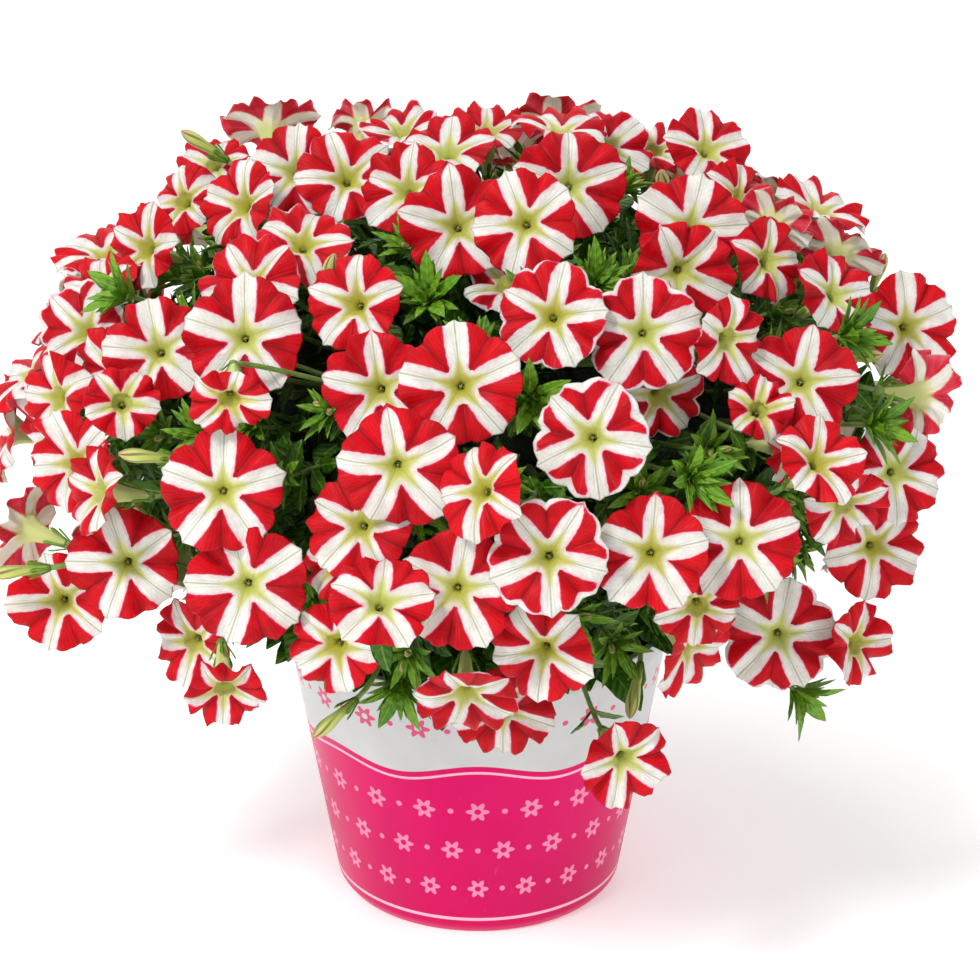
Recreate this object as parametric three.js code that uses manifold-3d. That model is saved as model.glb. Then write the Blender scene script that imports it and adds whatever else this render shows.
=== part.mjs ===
// Potted petunia: a tapering pot, its soil, eight leafy stems that make a mound,
// and flowering sprays seated in them.
// Millimetres. Z is up, X is to the viewer's right and the viewer stands on the -Y side.
// The origin is the middle of the pot's underside, on the floor.
import * as THREE from 'three';
import Module from 'manifold-3d';

// Pot
const POT_BASE_RADIUS = 82;
const POT_HEIGHT = 170;
const POT_TAPER = 0.172;          // mm outward for each mm up
const POT_WALL = 2.4;
const POT_FLOOR = 3;
const POT_FOOT_ROUND = 5;
const POT_RIM_OUT = 3;
const POT_RIM_TALL = 11;
const POT_SIDES = 32;

// Soil
const SOIL_TOP = 150;
const FIT_GAP = 0.35;             // between pieces that touch on the real plant
const FINEST = 0.04;              // slivers of a leafy stem smaller than this are closed up
const STEM_HOLE_DEPTH = 22;

// Mound: the throats of the blooms lie on its surface
const MOUND_MIDDLE = 297;         // height above the floor
const MOUND_HALF_WIDTH = 250;
const MOUND_HALF_DEPTH = 242;
const MOUND_HALF_HEIGHT = 132;

// Leafy stems: each has a wedge of the dense inside of the plant
const STEMS = 8;
const CORE_MIDDLE = 285;
const CORE_HALF_WIDTH = 168;
const CORE_ABOVE = 72;
const CORE_BELOW = 98;
const CORE_LUMPS = 0.035;         // how far its surface swells and sinks, as a part of its width
const CORE_NECK = 95;             // radius where it passes inside the pot's rim
const CORE_FOOT = 158;
const WEDGE_SHIFT = 1;            // outward, so neighbouring wedges stand clear
const STEM_RADIUS = 6;
const STEM_REACH = 62;            // from the pot's axis

// Bloom
const THROAT_RADIUS = 6.5;
const THROAT_DEPTH = 5;
const LIMB_THICK = 0.8;
const RIM_WAVE = 0.6;
const TUBE_LENGTH = 27;
const TUBE_TOP_RADIUS = 7;
const TUBE_END_RADIUS = 2.2;
const STALK_RADIUS = 1.2;
const STALK_SIDES = 3;
const LOBES = 5;
const NOTCH = 0.9;                // rim radius between two lobes, as a part of the reach

// Spray
const SPRAY_STALK_RADIUS = 2.6;
const SPRAY_STALK_SIDES = 4;
const SPRAY_SIZE = 4;
const SPRAY_SPREAD = 88;          // farthest two tubes of one spray
const CORE_ROOM = 1.06;           // how far out of the core a tube ends, at least
const BLOOM_ROOM = 1.6;           // kept clear round it
const STALK_ROOM = 2;             // round the middle of a stalk
const STALK_BEND = -0.2;          // cosine of the sharpest turn from tube to stalk
const FORK_SHIFTS = [
  [0, 0], [0.2, 0], [-0.2, 0], [0, 0.2], [0, -0.2], [0.35, 0], [-0.35, 0], [0, 0.35], [0, -0.35],
  [0.3, 0.3], [-0.3, 0.3], [0.3, -0.3], [-0.3, -0.3], [0.5, 0], [-0.5, 0], [0, 0.5], [0, -0.5],
];
const ROOT_DEPTH = 12;
const FORK_HEIGHT = 9;
const FORK_SEAT = 2.3;            // how far below the fork's top its stalks end

// The front of the plant as seen from one place: degrees, mm, and picture dots of 980 across
const VIEW_RISE = 22.5;
const VIEW_DISTANCE = 1784;
const VIEW_AIM = [6.8, 0, 240];
const VIEW_FOCAL = 3158;
const VIEW_CENTRE = 490;

// Blooms on the near side. at: the throat as seen; lean: how far the face turns right
// and up from the viewer; ray: clock angle of one white ray; reach: mm from throat to rim.
const NEAR_BLOOMS = [
  { at: [223, 491], lean: [0, 0], ray: 2, reach: 32 },
  { at: [461, 386], lean: [0, 0], ray: -6, reach: 32 },
  { at: [569, 186], lean: [0.05, 0.1], ray: 0, reach: 32 },
  { at: [643, 333], lean: [0, 0], ray: 0, reach: 31 },
  { at: [740, 541], lean: [0, 0.05], ray: 0, reach: 32 },
  { at: [458, 588], lean: [0, -0.05], ray: 10, reach: 31 },
  { at: [549, 556], lean: [-0.05, -0.05], ray: 33, reach: 31 },
  { at: [651, 553], lean: [-0.05, 0], ray: 5, reach: 30 },
  { at: [592, 438], lean: [-0.2, 0], ray: 27, reach: 31 },
  { at: [398, 466], lean: [0.05, -0.25], ray: -10, reach: 32 },
  { at: [380, 389], lean: [-0.2, 0], ray: -6, reach: 29 },
  { at: [248, 584], lean: [0, -0.15], ray: -16, reach: 32 },
  { at: [245, 338], lean: [0, 0.1], ray: 0, reach: 32 },
  { at: [458, 227], lean: [-0.05, 0.15], ray: -8, reach: 31 },
  { at: [689, 229], lean: [0.1, 0.05], ray: 14, reach: 31 },
  { at: [801, 382], lean: [0, 0.1], ray: 12, reach: 30 },
  { at: [905, 327], lean: [0.3, 0], ray: -5, reach: 31 },
  { at: [778, 634], lean: [0, -0.2], ray: 10, reach: 32 },
  { at: [127, 562], lean: [-0.1, -0.1], ray: -16, reach: 31 },
  { at: [63, 600], lean: [-0.15, -0.1], ray: -20, reach: 28 },
  { at: [160, 352], lean: [-0.1, 0.15], ray: -14, reach: 29 },
  { at: [253, 287], lean: [-0.25, 0.35], ray: -35, reach: 29 },
  { at: [526, 224], lean: [-0.15, 0.1], ray: -22, reach: 29 },
  { at: [297, 174], lean: [-0.2, 0.2], ray: 0, reach: 29 },
  { at: [347, 181], lean: [0, 0.35], ray: -20, reach: 29 },
  { at: [553, 317], lean: [-0.1, 0.15], ray: 12, reach: 29 },
  { at: [893, 472], lean: [0.35, 0], ray: 38, reach: 29 },
  { at: [872, 546], lean: [0.35, -0.15], ray: 40, reach: 30 },
  { at: [78, 463], lean: [-0.55, 0], ray: -21, reach: 28 },
  { at: [88, 333], lean: [-0.45, 0.1], ray: 25, reach: 29 },
  { at: [362, 526], lean: [-0.3, 0.05], ray: 8, reach: 29 },
  { at: [358, 305], lean: [-0.35, 0.15], ray: 0, reach: 27 },
  { at: [484, 491], lean: [-0.55, 0.2], ray: 190, reach: 26 },
  { at: [341, 563], lean: [-0.45, 0.1], ray: -70, reach: 27 },
  { at: [380, 605], lean: [0.1, 0.5], ray: 8, reach: 27 },
  { at: [657, 394], lean: [0.35, -0.35], ray: 60, reach: 28 },
  { at: [303, 247], lean: [0, 0.55], ray: 15, reach: 27 },
  { at: [545, 648], lean: [-0.3, -0.35], ray: 190, reach: 28 },
  { at: [503, 708], lean: [0, -0.5], ray: 180, reach: 28 },
  { at: [622, 757], lean: [0.35, -0.45], ray: 190, reach: 26 },
  { at: [408, 192], lean: [-0.35, 0.3], ray: 5, reach: 27 },
  { at: [679, 271], lean: [0.3, -0.3], ray: 40, reach: 29 },
  { at: [246, 207], lean: [-0.6, 0.25], ray: 0, reach: 27 },
  { at: [62, 398], lean: [-0.7, 0], ray: -10, reach: 25 },
  { at: [122, 404], lean: [0.1, 0.2], ray: 30, reach: 20 },
  { at: [119, 372], lean: [-0.65, -0.2], ray: 250, reach: 27 },
  { at: [186, 203], lean: [-0.5, 0.3], ray: -20, reach: 24 },
  { at: [150, 250], lean: [-0.6, 0.15], ray: 10, reach: 25 },
  { at: [338, 644], lean: [-0.3, -0.2], ray: 170, reach: 25 },
  { at: [508, 288], lean: [-0.35, 0.6], ray: 20, reach: 23 },
  { at: [449, 156], lean: [-0.1, 0.7], ray: 0, reach: 27 },
  { at: [402, 136], lean: [-0.1, 0.8], ray: 30, reach: 26 },
  { at: [552, 126], lean: [0, 0.9], ray: 0, reach: 31, away: true },
  { at: [606, 150], lean: [0.2, 0.5], ray: -20, reach: 27 },
  { at: [652, 154], lean: [0.1, 0.75], ray: 0, reach: 24 },
  { at: [706, 152], lean: [0.3, 0.45], ray: 0, reach: 27 },
  { at: [737, 200], lean: [0.7, 0.3], ray: 20, reach: 24 },
  { at: [772, 226], lean: [0.5, 0.7], ray: 0, reach: 23, away: true },
  { at: [765, 262], lean: [0.55, 0.15], ray: 10, reach: 24 },
  { at: [838, 254], lean: [0.35, 0.8], ray: 0, reach: 27, away: true },
  { at: [832, 296], lean: [0.6, 0.35], ray: 10, reach: 27 },
  { at: [917, 396], lean: [0.85, -0.1], ray: 20, reach: 27, away: true },
  { at: [757, 412], lean: [0.1, 0.3], ray: 15, reach: 17 },
  { at: [786, 448], lean: [0.7, -0.1], ray: 0, reach: 21 },
  { at: [815, 464], lean: [0.45, 0.4], ray: 15, reach: 25 },
  { at: [842, 502], lean: [0.35, -0.55], ray: 60, reach: 24 },
  { at: [697, 604], lean: [0.1, -0.5], ray: 180, reach: 23 },
  { at: [852, 643], lean: [0.7, -0.15], ray: 10, reach: 24 },
  { at: [520, 622], lean: [0, -0.4], ray: 150, reach: 22 },
  { at: [30, 530], lean: [-0.85, 0.3], ray: 0, reach: 27, away: true },
  { at: [104, 492], lean: [-0.8, 0.1], ray: 0, reach: 25 },
  { at: [196, 640], lean: [-0.45, -0.35], ray: 200, reach: 25 },
  { at: [224, 684], lean: [0.1, -0.75], ray: 180, reach: 22 },
  { at: [103, 290], lean: [-0.45, 0.6], ray: -30, reach: 25 },
  { at: [270, 132], lean: [-0.1, 0.9], ray: 0, reach: 29, away: true },
  { at: [365, 130], lean: [0.15, 0.9], ray: 0, reach: 22, away: true },
  { at: [487, 136], lean: [0, 0.8], ray: 0, reach: 24 },
  { at: [216, 168], lean: [-0.3, 0.6], ray: 0, reach: 22 },
  { at: [724, 338], lean: [0.6, -0.25], ray: 150, reach: 24 },
  { at: [190, 376], lean: [-0.2, -0.3], ray: 10, reach: 24 },
  { at: [230, 396], lean: [0, -0.6], ray: 160, reach: 24 },
];

// Blooms all round the far side follow a spiral over the mound
const FAR_SPIRAL_POINTS = 230;
const FAR_FILL_POINTS = 157;      // a second, wider spiral fills what the first left open
const FAR_FROM_VIEWER = -0.42;    // sine of how far they may turn towards the viewer
const FAR_REACH = 30;
const FAR_REACH_SPREAD = 4;

// Leaves
const LEAF_SPIRAL_POINTS = 195;
const LEAF_FILL_POINTS = 30;      // a second spiral of smaller leaves between the first
const LEAF_LENGTH = 46;
const LEAF_FILL_LENGTH = 34;
const LEAF_ASPECT = 0.5;          // width as a part of the length
const LEAF_THICK = 1.6;           // at its mid-rib
const LEAF_FOLD = 2.5;
const LEAF_DROOP = 4;
const LEAF_SUNK = 9;
const LEAF_LOWEST = -0.85;        // as a part of the way down the core
const LEAF_LOW = -0.45;           // below this they lean down a little
const LEAF_ROOM = 2.5;            // kept clear round it

// Skirt: leaves all round that lean down over the pot's rim
const SKIRT_LEAVES = 34;
const SKIRT_ROOT_RADIUS = 92;
const SKIRT_ROOT_HEIGHT = 205;
const SKIRT_SLOPE = -0.5;
const SKIRT_LENGTH = 56;
const SKIRT_ASPECT = 0.41;

// Tufts of narrow young leaves at shoot tips on the near side: where each is seen
const TUFTS = [
  { at: [429, 300] }, { at: [596, 285] }, { at: [128, 295] }, { at: [872, 425] },
  { at: [530, 400] }, { at: [205, 436] }, { at: [690, 478] }, { at: [400, 685] },
  { at: [700, 668] }, { at: [845, 335] }, { at: [797, 692] },
];
const TUFT_BLADES = 5;
const TUFT_LENGTH = 28;
const TUFT_WIDTH = 8.5;
const TUFT_SPREAD = 0.9;          // how far its blades lean out from its stem
const TUFT_DEPTH = 14;            // below the blooms
const TUFT_STALK_RADIUS = 1.8;

// Long furled buds on the near side: where the middle of each is seen and how it leans
const BUDS = [
  { at: [205, 146], lean: [-0.8, 0.5] }, { at: [330, 124], lean: [-0.3, 0.9] },
  { at: [326, 280], lean: [0.3, 0.8] }, { at: [150, 457], lean: [-0.95, 0.1] },
  { at: [20, 571], lean: [-0.95, -0.1] }, { at: [155, 598], lean: [-0.8, -0.45] },
  { at: [335, 718], lean: [-0.7, -0.6] }, { at: [635, 690], lean: [-0.2, -0.9] },
  { at: [832, 728], lean: [0.6, -0.75] }, { at: [663, 188], lean: [-0.1, 0.5] },
  { at: [877, 275], lean: [0.2, 0.7] }, { at: [856, 356], lean: [0.8, 0] },
];
const BUD_LENGTH = 32;
const BUD_RADIUS = 3.8;
const BUD_TIP_RADIUS = 1.6;

const wasm = await Module();
wasm.setup();

// ---- vectors ----

const plus = (a, b) => [a[0] + b[0], a[1] + b[1], a[2] + b[2]];
const minus = (a, b) => [a[0] - b[0], a[1] - b[1], a[2] - b[2]];
const times = (a, k) => [a[0] * k, a[1] * k, a[2] * k];
const dot = (a, b) => a[0] * b[0] + a[1] * b[1] + a[2] * b[2];
const cross = (a, b) => [
  a[1] * b[2] - a[2] * b[1],
  a[2] * b[0] - a[0] * b[2],
  a[0] * b[1] - a[1] * b[0],
];
const size = (a) => Math.sqrt(dot(a, a));
const unit = (a) => times(a, 1 / size(a));
const radians = (degrees) => degrees * Math.PI / 180;

// A vector square to `axis` that leans towards `guide`
function squareTo(axis, guide) {
  return unit(minus(guide, times(axis, dot(guide, axis))));
}

// Evenly spread numbers from 0 to 1, the same for the same seed
function draws(seed) {
  let state = seed;
  return () => {
    state = (Math.imul(state, 1664525) + 1013904223) >>> 0;
    return state / 4294967296;
  };
}

// ---- places on the mound ----

const VIEW_RIGHT = [1, 0, 0];
const VIEW_FORWARD = [0, Math.cos(radians(VIEW_RISE)), -Math.sin(radians(VIEW_RISE))];
const VIEW_UP = [0, Math.sin(radians(VIEW_RISE)), Math.cos(radians(VIEW_RISE))];
const VIEW_PLACE = minus(VIEW_AIM, times(VIEW_FORWARD, VIEW_DISTANCE));
const MOUND_CENTRE = [0, 0, MOUND_MIDDLE];
const MOUND_HALF = [MOUND_HALF_WIDTH, MOUND_HALF_DEPTH, MOUND_HALF_HEIGHT];

function sightLine(at) {
  const across = times(VIEW_RIGHT, (at[0] - VIEW_CENTRE) / VIEW_FOCAL);
  const down = times(VIEW_UP, (VIEW_CENTRE - at[1]) / VIEW_FOCAL);
  return unit(plus(VIEW_FORWARD, plus(across, down)));
}

// Where a line of sight meets the mound, or where it passes nearest to it
function seenOnMound(at) {
  const ray = sightLine(at);
  const from = minus(VIEW_PLACE, MOUND_CENTRE);
  const o = [from[0] / MOUND_HALF[0], from[1] / MOUND_HALF[1], from[2] / MOUND_HALF[2]];
  const d = [ray[0] / MOUND_HALF[0], ray[1] / MOUND_HALF[1], ray[2] / MOUND_HALF[2]];
  const nearest = -dot(o, d) / dot(d, d);
  const miss = dot(o, o) - nearest * nearest * dot(d, d);
  const back = miss < 1 ? Math.sqrt((1 - miss) / dot(d, d)) : 0;
  return { place: plus(VIEW_PLACE, times(ray, nearest - back)), ray };
}

function facing(lean, away) {
  const toward = Math.sqrt(Math.max(0, 1 - lean[0] * lean[0] - lean[1] * lean[1]));
  const side = plus(times(VIEW_RIGHT, lean[0]), times(VIEW_UP, lean[1]));
  return unit(plus(side, times(VIEW_FORWARD, away ? toward : -toward)));
}

// Point number i of `count` on a spiral over a unit ball, from the top down
function spiralPoint(i, count) {
  const z = 1 - (2 * i + 1) / count;
  const across = Math.sqrt(1 - z * z);
  const turn = i * Math.PI * (3 - Math.sqrt(5));
  return [across * Math.cos(turn), across * Math.sin(turn), z];
}

// A point of the plant's dense inside in a direction from its middle, scaled by `part`
function onCore(direction, part) {
  const tall = direction[2] > 0 ? CORE_ABOVE : CORE_BELOW;
  const k = part / Math.sqrt(
    (direction[0] * direction[0] + direction[1] * direction[1]) / CORE_HALF_WIDTH ** 2
    + direction[2] * direction[2] / tall ** 2);
  return plus([0, 0, CORE_MIDDLE], times(direction, k));
}

// ---- bloom outline and the room it takes ----

// Height of the bloom's face above its throat at a part (0 to 1) of its reach
function faceHeight(part) {
  return 5 * (2 * part - part * part) - 1.5 * part ** 4;
}

function tubeRadius(below) {
  const part = Math.min(1, below / TUBE_LENGTH);
  return TUBE_TOP_RADIUS + (TUBE_END_RADIUS - TUBE_TOP_RADIUS) * part;
}

function insideBloom(bloom, point, room) {
  const d = minus(point, bloom.place);
  const h = dot(d, bloom.axis);
  const r = Math.sqrt(Math.max(0, dot(d, d) - h * h));
  if (r < bloom.reach * 1.04 + room) {
    const gap = h - faceHeight(Math.min(1, r / bloom.reach));
    if (gap < 1.6 + room && gap > -2.6 - room) return true;
  }
  return h < 2 && h > -TUBE_LENGTH - 3 - room && r < tubeRadius(-h) + room;
}

// Points of a bloom that another piece has to keep clear of
function probes(bloom) {
  const side = squareTo(bloom.axis, Math.abs(bloom.axis[2]) < 0.9 ? [0, 0, 1] : [1, 0, 0]);
  const other = cross(bloom.axis, side);
  const points = [];
  for (const part of [0.5, 1]) {
    const count = part === 1 ? 24 : 8;
    for (let i = 0; i < count; i += 1) {
      const turn = 2 * Math.PI * i / count;
      const flat = plus(times(side, Math.cos(turn)), times(other, Math.sin(turn)));
      const out = times(flat, part * bloom.reach);
      points.push(plus(bloom.place, plus(out, times(bloom.axis, faceHeight(part) - 0.5))));
    }
  }
  for (let below = 6; below <= TUBE_LENGTH + 3; below += 8) {
    points.push(minus(bloom.place, times(bloom.axis, below)));
  }
  for (let part = 0.15; part < 1; part += 0.17) {
    points.push(plus(times(bloom.end, 1 - part), times(bloom.foot, part)));
  }
  return points;
}

function clash(a, b) {
  if (size(minus(a.place, b.place)) > 100) return false;
  const meets = (bloom, p) => insideBloom(bloom, p, BLOOM_ROOM)
    || lineDistance(p, bloom.end, bloom.foot) < STALK_ROOM + BLOOM_ROOM;
  return a.probes.some((p) => meets(b, p)) || b.probes.some((p) => meets(a, p));
}

// ---- placing the blooms ----

// A bloom, the end of its tube and the place on the core that its stalk makes for
function bloomAt(place, axis, reach, ray) {
  const bloom = { place, axis: unit(axis), reach, ray };
  bloom.end = minus(place, times(bloom.axis, TUBE_LENGTH));
  bloom.foot = onCore(unit(minus(bloom.end, [0, 0, CORE_MIDDLE])), 1);
  bloom.probes = probes(bloom);
  return bloom;
}

// Steps towards the viewer (-) or away (+) that are tried until a bloom stands clear
const DEPTH_STEPS = [0, -5, 5, -10, 10, -15, 15, -20, 20, -26, 26, -32, 32, -40, 40];

function placeNearBlooms(blooms) {
  for (const seen of NEAR_BLOOMS) {
    const { place, ray } = seenOnMound(seen.at);
    const axis = facing(seen.lean, seen.away);
    for (const shrink of [1, 0.88, 0.76]) {
      const options = DEPTH_STEPS.map((step) => bloomAt(
        plus(place, times(ray, step)), axis, seen.reach * shrink, seen.ray));
      const clear = options.find((option) => (
        coreLevel(option.end) > CORE_ROOM && !blooms.some((other) => clash(option, other))));
      if (clear) {
        blooms.push(clear);
        break;
      }
    }
  }
}

function placeFarBlooms(blooms, count, seed) {
  const draw = draws(seed);
  for (let i = 0; i < count; i += 1) {
    const on = spiralPoint(i, count);
    const jitter = [draw() - 0.5, draw() - 0.5, draw() - 0.5];
    const reach = FAR_REACH + FAR_REACH_SPREAD * (draw() - 0.5);
    const ray = 72 * draw();
    const place = plus(MOUND_CENTRE, [
      on[0] * MOUND_HALF[0], on[1] * MOUND_HALF[1], on[2] * MOUND_HALF[2]]);
    const outward = unit([
      on[0] / MOUND_HALF[0], on[1] / MOUND_HALF[1], on[2] / MOUND_HALF[2]]);
    const axis = plus(plus(outward, [0, 0, 0.25]), times(jitter, 0.7));
    if (on[2] < -0.6 || dot(outward, VIEW_FORWARD) < FAR_FROM_VIEWER) continue;
    for (const step of [0, -8, 8, -16]) {
      const bloom = bloomAt(plus(place, times(outward, step)), axis, reach, ray);
      if (coreLevel(bloom.end) > CORE_ROOM && !blooms.some((other) => clash(bloom, other))) {
        blooms.push(bloom);
        break;
      }
    }
  }
}

// ---- grouping them in sprays ----

function stemOf(point) {
  const turn = Math.atan2(point[1], point[0]) / (2 * Math.PI) + 1;
  return Math.floor(turn * STEMS) % STEMS;
}

// Nearest distance between two straight stalks
function lineGap(a, b, c, d) {
  let nearest = Infinity;
  for (let i = 0; i <= 24; i += 1) {
    const p = plus(a, times(minus(b, a), i / 24));
    nearest = Math.min(nearest, lineDistance(p, c, d));
  }
  return nearest;
}

function lineDistance(point, a, b) {
  const along = minus(b, a);
  const t = Math.max(0, Math.min(1, dot(minus(point, a), along) / dot(along, along)));
  return size(minus(point, plus(a, times(along, t))));
}

// Whether a bloom's stalk can run straight to a fork past the other blooms and stalks
function stalkClear(bloom, fork, blooms, sprays) {
  const end = bloom.end;
  if (dot(unit(minus(end, fork)), bloom.axis) < STALK_BEND) return false;
  const stations = [];
  for (let i = 1; i <= 12; i += 1) stations.push(plus(fork, times(minus(end, fork), i / 13)));
  if (stations.some((p) => coreLevel(p) < 1 + CORE_LUMPS * 1.3)) return false;
  const others = blooms.filter((other) => other !== bloom && size(minus(other.place, end)) < 110);
  if (others.some((other) => stations.some((p) => insideBloom(other, p, STALK_ROOM)))) return false;
  return !sprays.some((item) => (
    lineGap(item.root, item.fork, end, fork) < 2 * STALK_ROOM + 1
    || item.blooms.some((other) => lineGap(other.end, item.fork, end, fork) < 2 * STALK_ROOM)));
}

// How far out of the core a point lies: 1 on its surface
function coreLevel(point) {
  const tall = point[2] > CORE_MIDDLE ? CORE_ABOVE : CORE_BELOW;
  return Math.hypot(
    point[0] / CORE_HALF_WIDTH, point[1] / CORE_HALF_WIDTH, (point[2] - CORE_MIDDLE) / tall);
}

function makeSprays(blooms) {
  const free = blooms.slice().sort((a, b) => a.place[2] - b.place[2]);
  const sprays = [];
  while (free.length) {
    const first = free.shift();
    const near = free
      .map((bloom) => ({ bloom, far: size(minus(bloom.end, first.end)) }))
      .filter((item) => item.far < SPRAY_SPREAD)
      .sort((a, b) => a.far - b.far)
      .slice(0, SPRAY_SIZE - 1)
      .map((item) => item.bloom);
    const item = clearSpray(first, near, blooms, sprays);
    for (const bloom of near) {
      if (stalkClear(bloom, item.fork, blooms, sprays)) {
        item.blooms.push(bloom);
        free.splice(free.indexOf(bloom), 1);
      }
    }
    sprays.push(item);
  }
  return sprays;
}

// A spray that its first bloom can join: under the middle of its neighbours, or else
// under itself, or else a little to one side of that
function clearSpray(first, near, blooms, sprays) {
  const options = [spray([first, ...near], [0, 0])];
  for (const shift of FORK_SHIFTS) options.push(spray([first], shift));
  const item = options.find((option) => stalkClear(first, option.fork, blooms, sprays)) ?? options[0];
  item.blooms = [first];
  return item;
}

// The spray's stalk stands square to the core under the middle of its blooms, or aside
function spray(blooms, shift) {
  let middle = [0, 0, 0];
  for (const bloom of blooms) middle = plus(middle, times(bloom.end, 1 / blooms.length));
  const under = unit(minus(middle, [0, 0, CORE_MIDDLE]));
  const across = squareTo(under, [-under[1], under[0], 0]);
  const along = cross(under, across);
  const direction = unit(plus(under, plus(times(across, shift[0]), times(along, shift[1]))));
  const at = onCore(clearOfSeams(direction), 1);
  const up = unit(minus(at, [0, 0, CORE_MIDDLE]));
  return { blooms, root: minus(at, times(up, ROOT_DEPTH)), fork: plus(at, times(up, FORK_HEIGHT)) };
}

// Turns a direction a little where it would meet the seam between two wedges
function clearOfSeams(direction) {
  const across = Math.max(0.15, Math.hypot(direction[0], direction[1]));
  const slot = 2 * Math.PI / STEMS;
  const turn = Math.atan2(direction[1], direction[0]);
  const middle = (Math.floor(turn / slot) + 0.5) * slot;
  const room = Math.asin(Math.min(0.3, 7 / (across * CORE_HALF_WIDTH)));
  const kept = Math.max(middle - slot / 2 + room, Math.min(middle + slot / 2 - room, turn));
  return [across * Math.cos(kept), across * Math.sin(kept), direction[2]];
}

// ---- closed bodies ----

function solid(points, faces) {
  const mesh = new wasm.Mesh({
    numProp: 3,
    vertProperties: Float32Array.from(points.flat()),
    triVerts: Uint32Array.from(faces.flat()),
  });
  return new wasm.Manifold(mesh);
}

// Faces of a band between two rings of equal count whose points start at `a` and `b`
function band(a, b, count) {
  const faces = [];
  for (let i = 0; i < count; i += 1) {
    const j = (i + 1) % count;
    faces.push([a + i, a + j, b + j], [a + i, b + j, b + i]);
  }
  return faces;
}

function ring(centre, axis, guide, radius, count) {
  const side = squareTo(axis, guide);
  const other = cross(axis, side);
  const points = [];
  for (let i = 0; i < count; i += 1) {
    const turn = 2 * Math.PI * i / count;
    const out = plus(times(side, Math.cos(turn)), times(other, Math.sin(turn)));
    points.push(plus(centre, times(out, radius)));
  }
  return points;
}

// A rod with flat ends through a list of { at, radius } stations
function rod(stations, sides) {
  const points = [];
  const faces = [];
  let guide = null;
  stations.forEach((station, k) => {
    const before = stations[Math.max(0, k - 1)].at;
    const after = stations[Math.min(stations.length - 1, k + 1)].at;
    const axis = unit(minus(after, before));
    guide = squareTo(axis, guide ?? (Math.abs(axis[2]) < 0.9 ? [0, 0, 1] : [1, 0, 0]));
    points.push(...ring(station.at, axis, guide, station.radius, sides));
    if (k > 0) faces.push(...band((k - 1) * sides, k * sides, sides));
  });
  const last = (stations.length - 1) * sides;
  for (let i = 1; i < sides - 1; i += 1) {
    faces.push([0, i + 1, i], [last, last + i, last + i + 1]);
  }
  return solid(points, faces);
}

function lathe(profile, sides) {
  const points = [];
  const faces = [];
  const start = profile.map(([radius, z]) => {
    const first = points.length;
    if (radius === 0) points.push([0, 0, z]);
    else points.push(...ring([0, 0, z], [0, 0, 1], [1, 0, 0], radius, sides));
    return first;
  });
  for (let k = 0; k < profile.length - 1; k += 1) {
    const [a, b] = [start[k], start[k + 1]];
    if (profile[k][0] === 0) {
      for (let i = 0; i < sides; i += 1) faces.push([a, b + (i + 1) % sides, b + i]);
    } else if (profile[k + 1][0] === 0) {
      for (let i = 0; i < sides; i += 1) faces.push([a + i, a + (i + 1) % sides, b]);
    } else faces.push(...band(a, b, sides));
  }
  return solid(points, faces);
}

// ---- pot and soil ----

const potRadius = (z) => POT_BASE_RADIUS + POT_TAPER * z;

function pot() {
  const rimFoot = POT_HEIGHT - POT_RIM_TALL;
  return lathe([
    [0, 0],
    [POT_BASE_RADIUS - POT_FOOT_ROUND * 0.6, 0],
    [POT_BASE_RADIUS - POT_FOOT_ROUND * 0.15, POT_FOOT_ROUND * 0.3],
    [potRadius(POT_FOOT_ROUND), POT_FOOT_ROUND],
    [potRadius(rimFoot), rimFoot],
    [potRadius(rimFoot) + POT_RIM_OUT, rimFoot + 1],
    [potRadius(POT_HEIGHT) + POT_RIM_OUT - 0.8, POT_HEIGHT],
    [potRadius(POT_HEIGHT) - POT_WALL, POT_HEIGHT],
    [potRadius(POT_FLOOR) - POT_WALL, POT_FLOOR],
    [0, POT_FLOOR],
  ], POT_SIDES);
}

function stemPlace(index) {
  const turn = 2 * Math.PI * (index + 0.5) / STEMS;
  return [STEM_REACH * Math.cos(turn), STEM_REACH * Math.sin(turn)];
}

function soil() {
  const inner = (z) => potRadius(z) - POT_WALL - FIT_GAP;
  let body = lathe([
    [0, POT_FLOOR + FIT_GAP],
    [inner(POT_FLOOR), POT_FLOOR + FIT_GAP],
    [inner(SOIL_TOP - 4), SOIL_TOP - 4],
    [inner(SOIL_TOP) - 6, SOIL_TOP],
    [0, SOIL_TOP + 1.5],
  ], POT_SIDES);
  for (let i = 0; i < STEMS; i += 1) {
    const [x, y] = stemPlace(i);
    const hole = rod([
      { at: [x, y, SOIL_TOP - STEM_HOLE_DEPTH - FIT_GAP], radius: STEM_RADIUS + FIT_GAP * 1.3 },
      { at: [x, y, SOIL_TOP + 10], radius: STEM_RADIUS + FIT_GAP * 1.3 },
    ], 6);
    body = body.subtract(hole);
  }
  return body;
}

// ---- blooms ----

function bloomFrame(bloom) {
  const up = Math.abs(dot(bloom.axis, VIEW_UP)) < 0.95 ? VIEW_UP : times(VIEW_FORWARD, -1);
  const top = squareTo(bloom.axis, up);
  const right = cross(top, bloom.axis);
  return { top, right };
}

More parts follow.
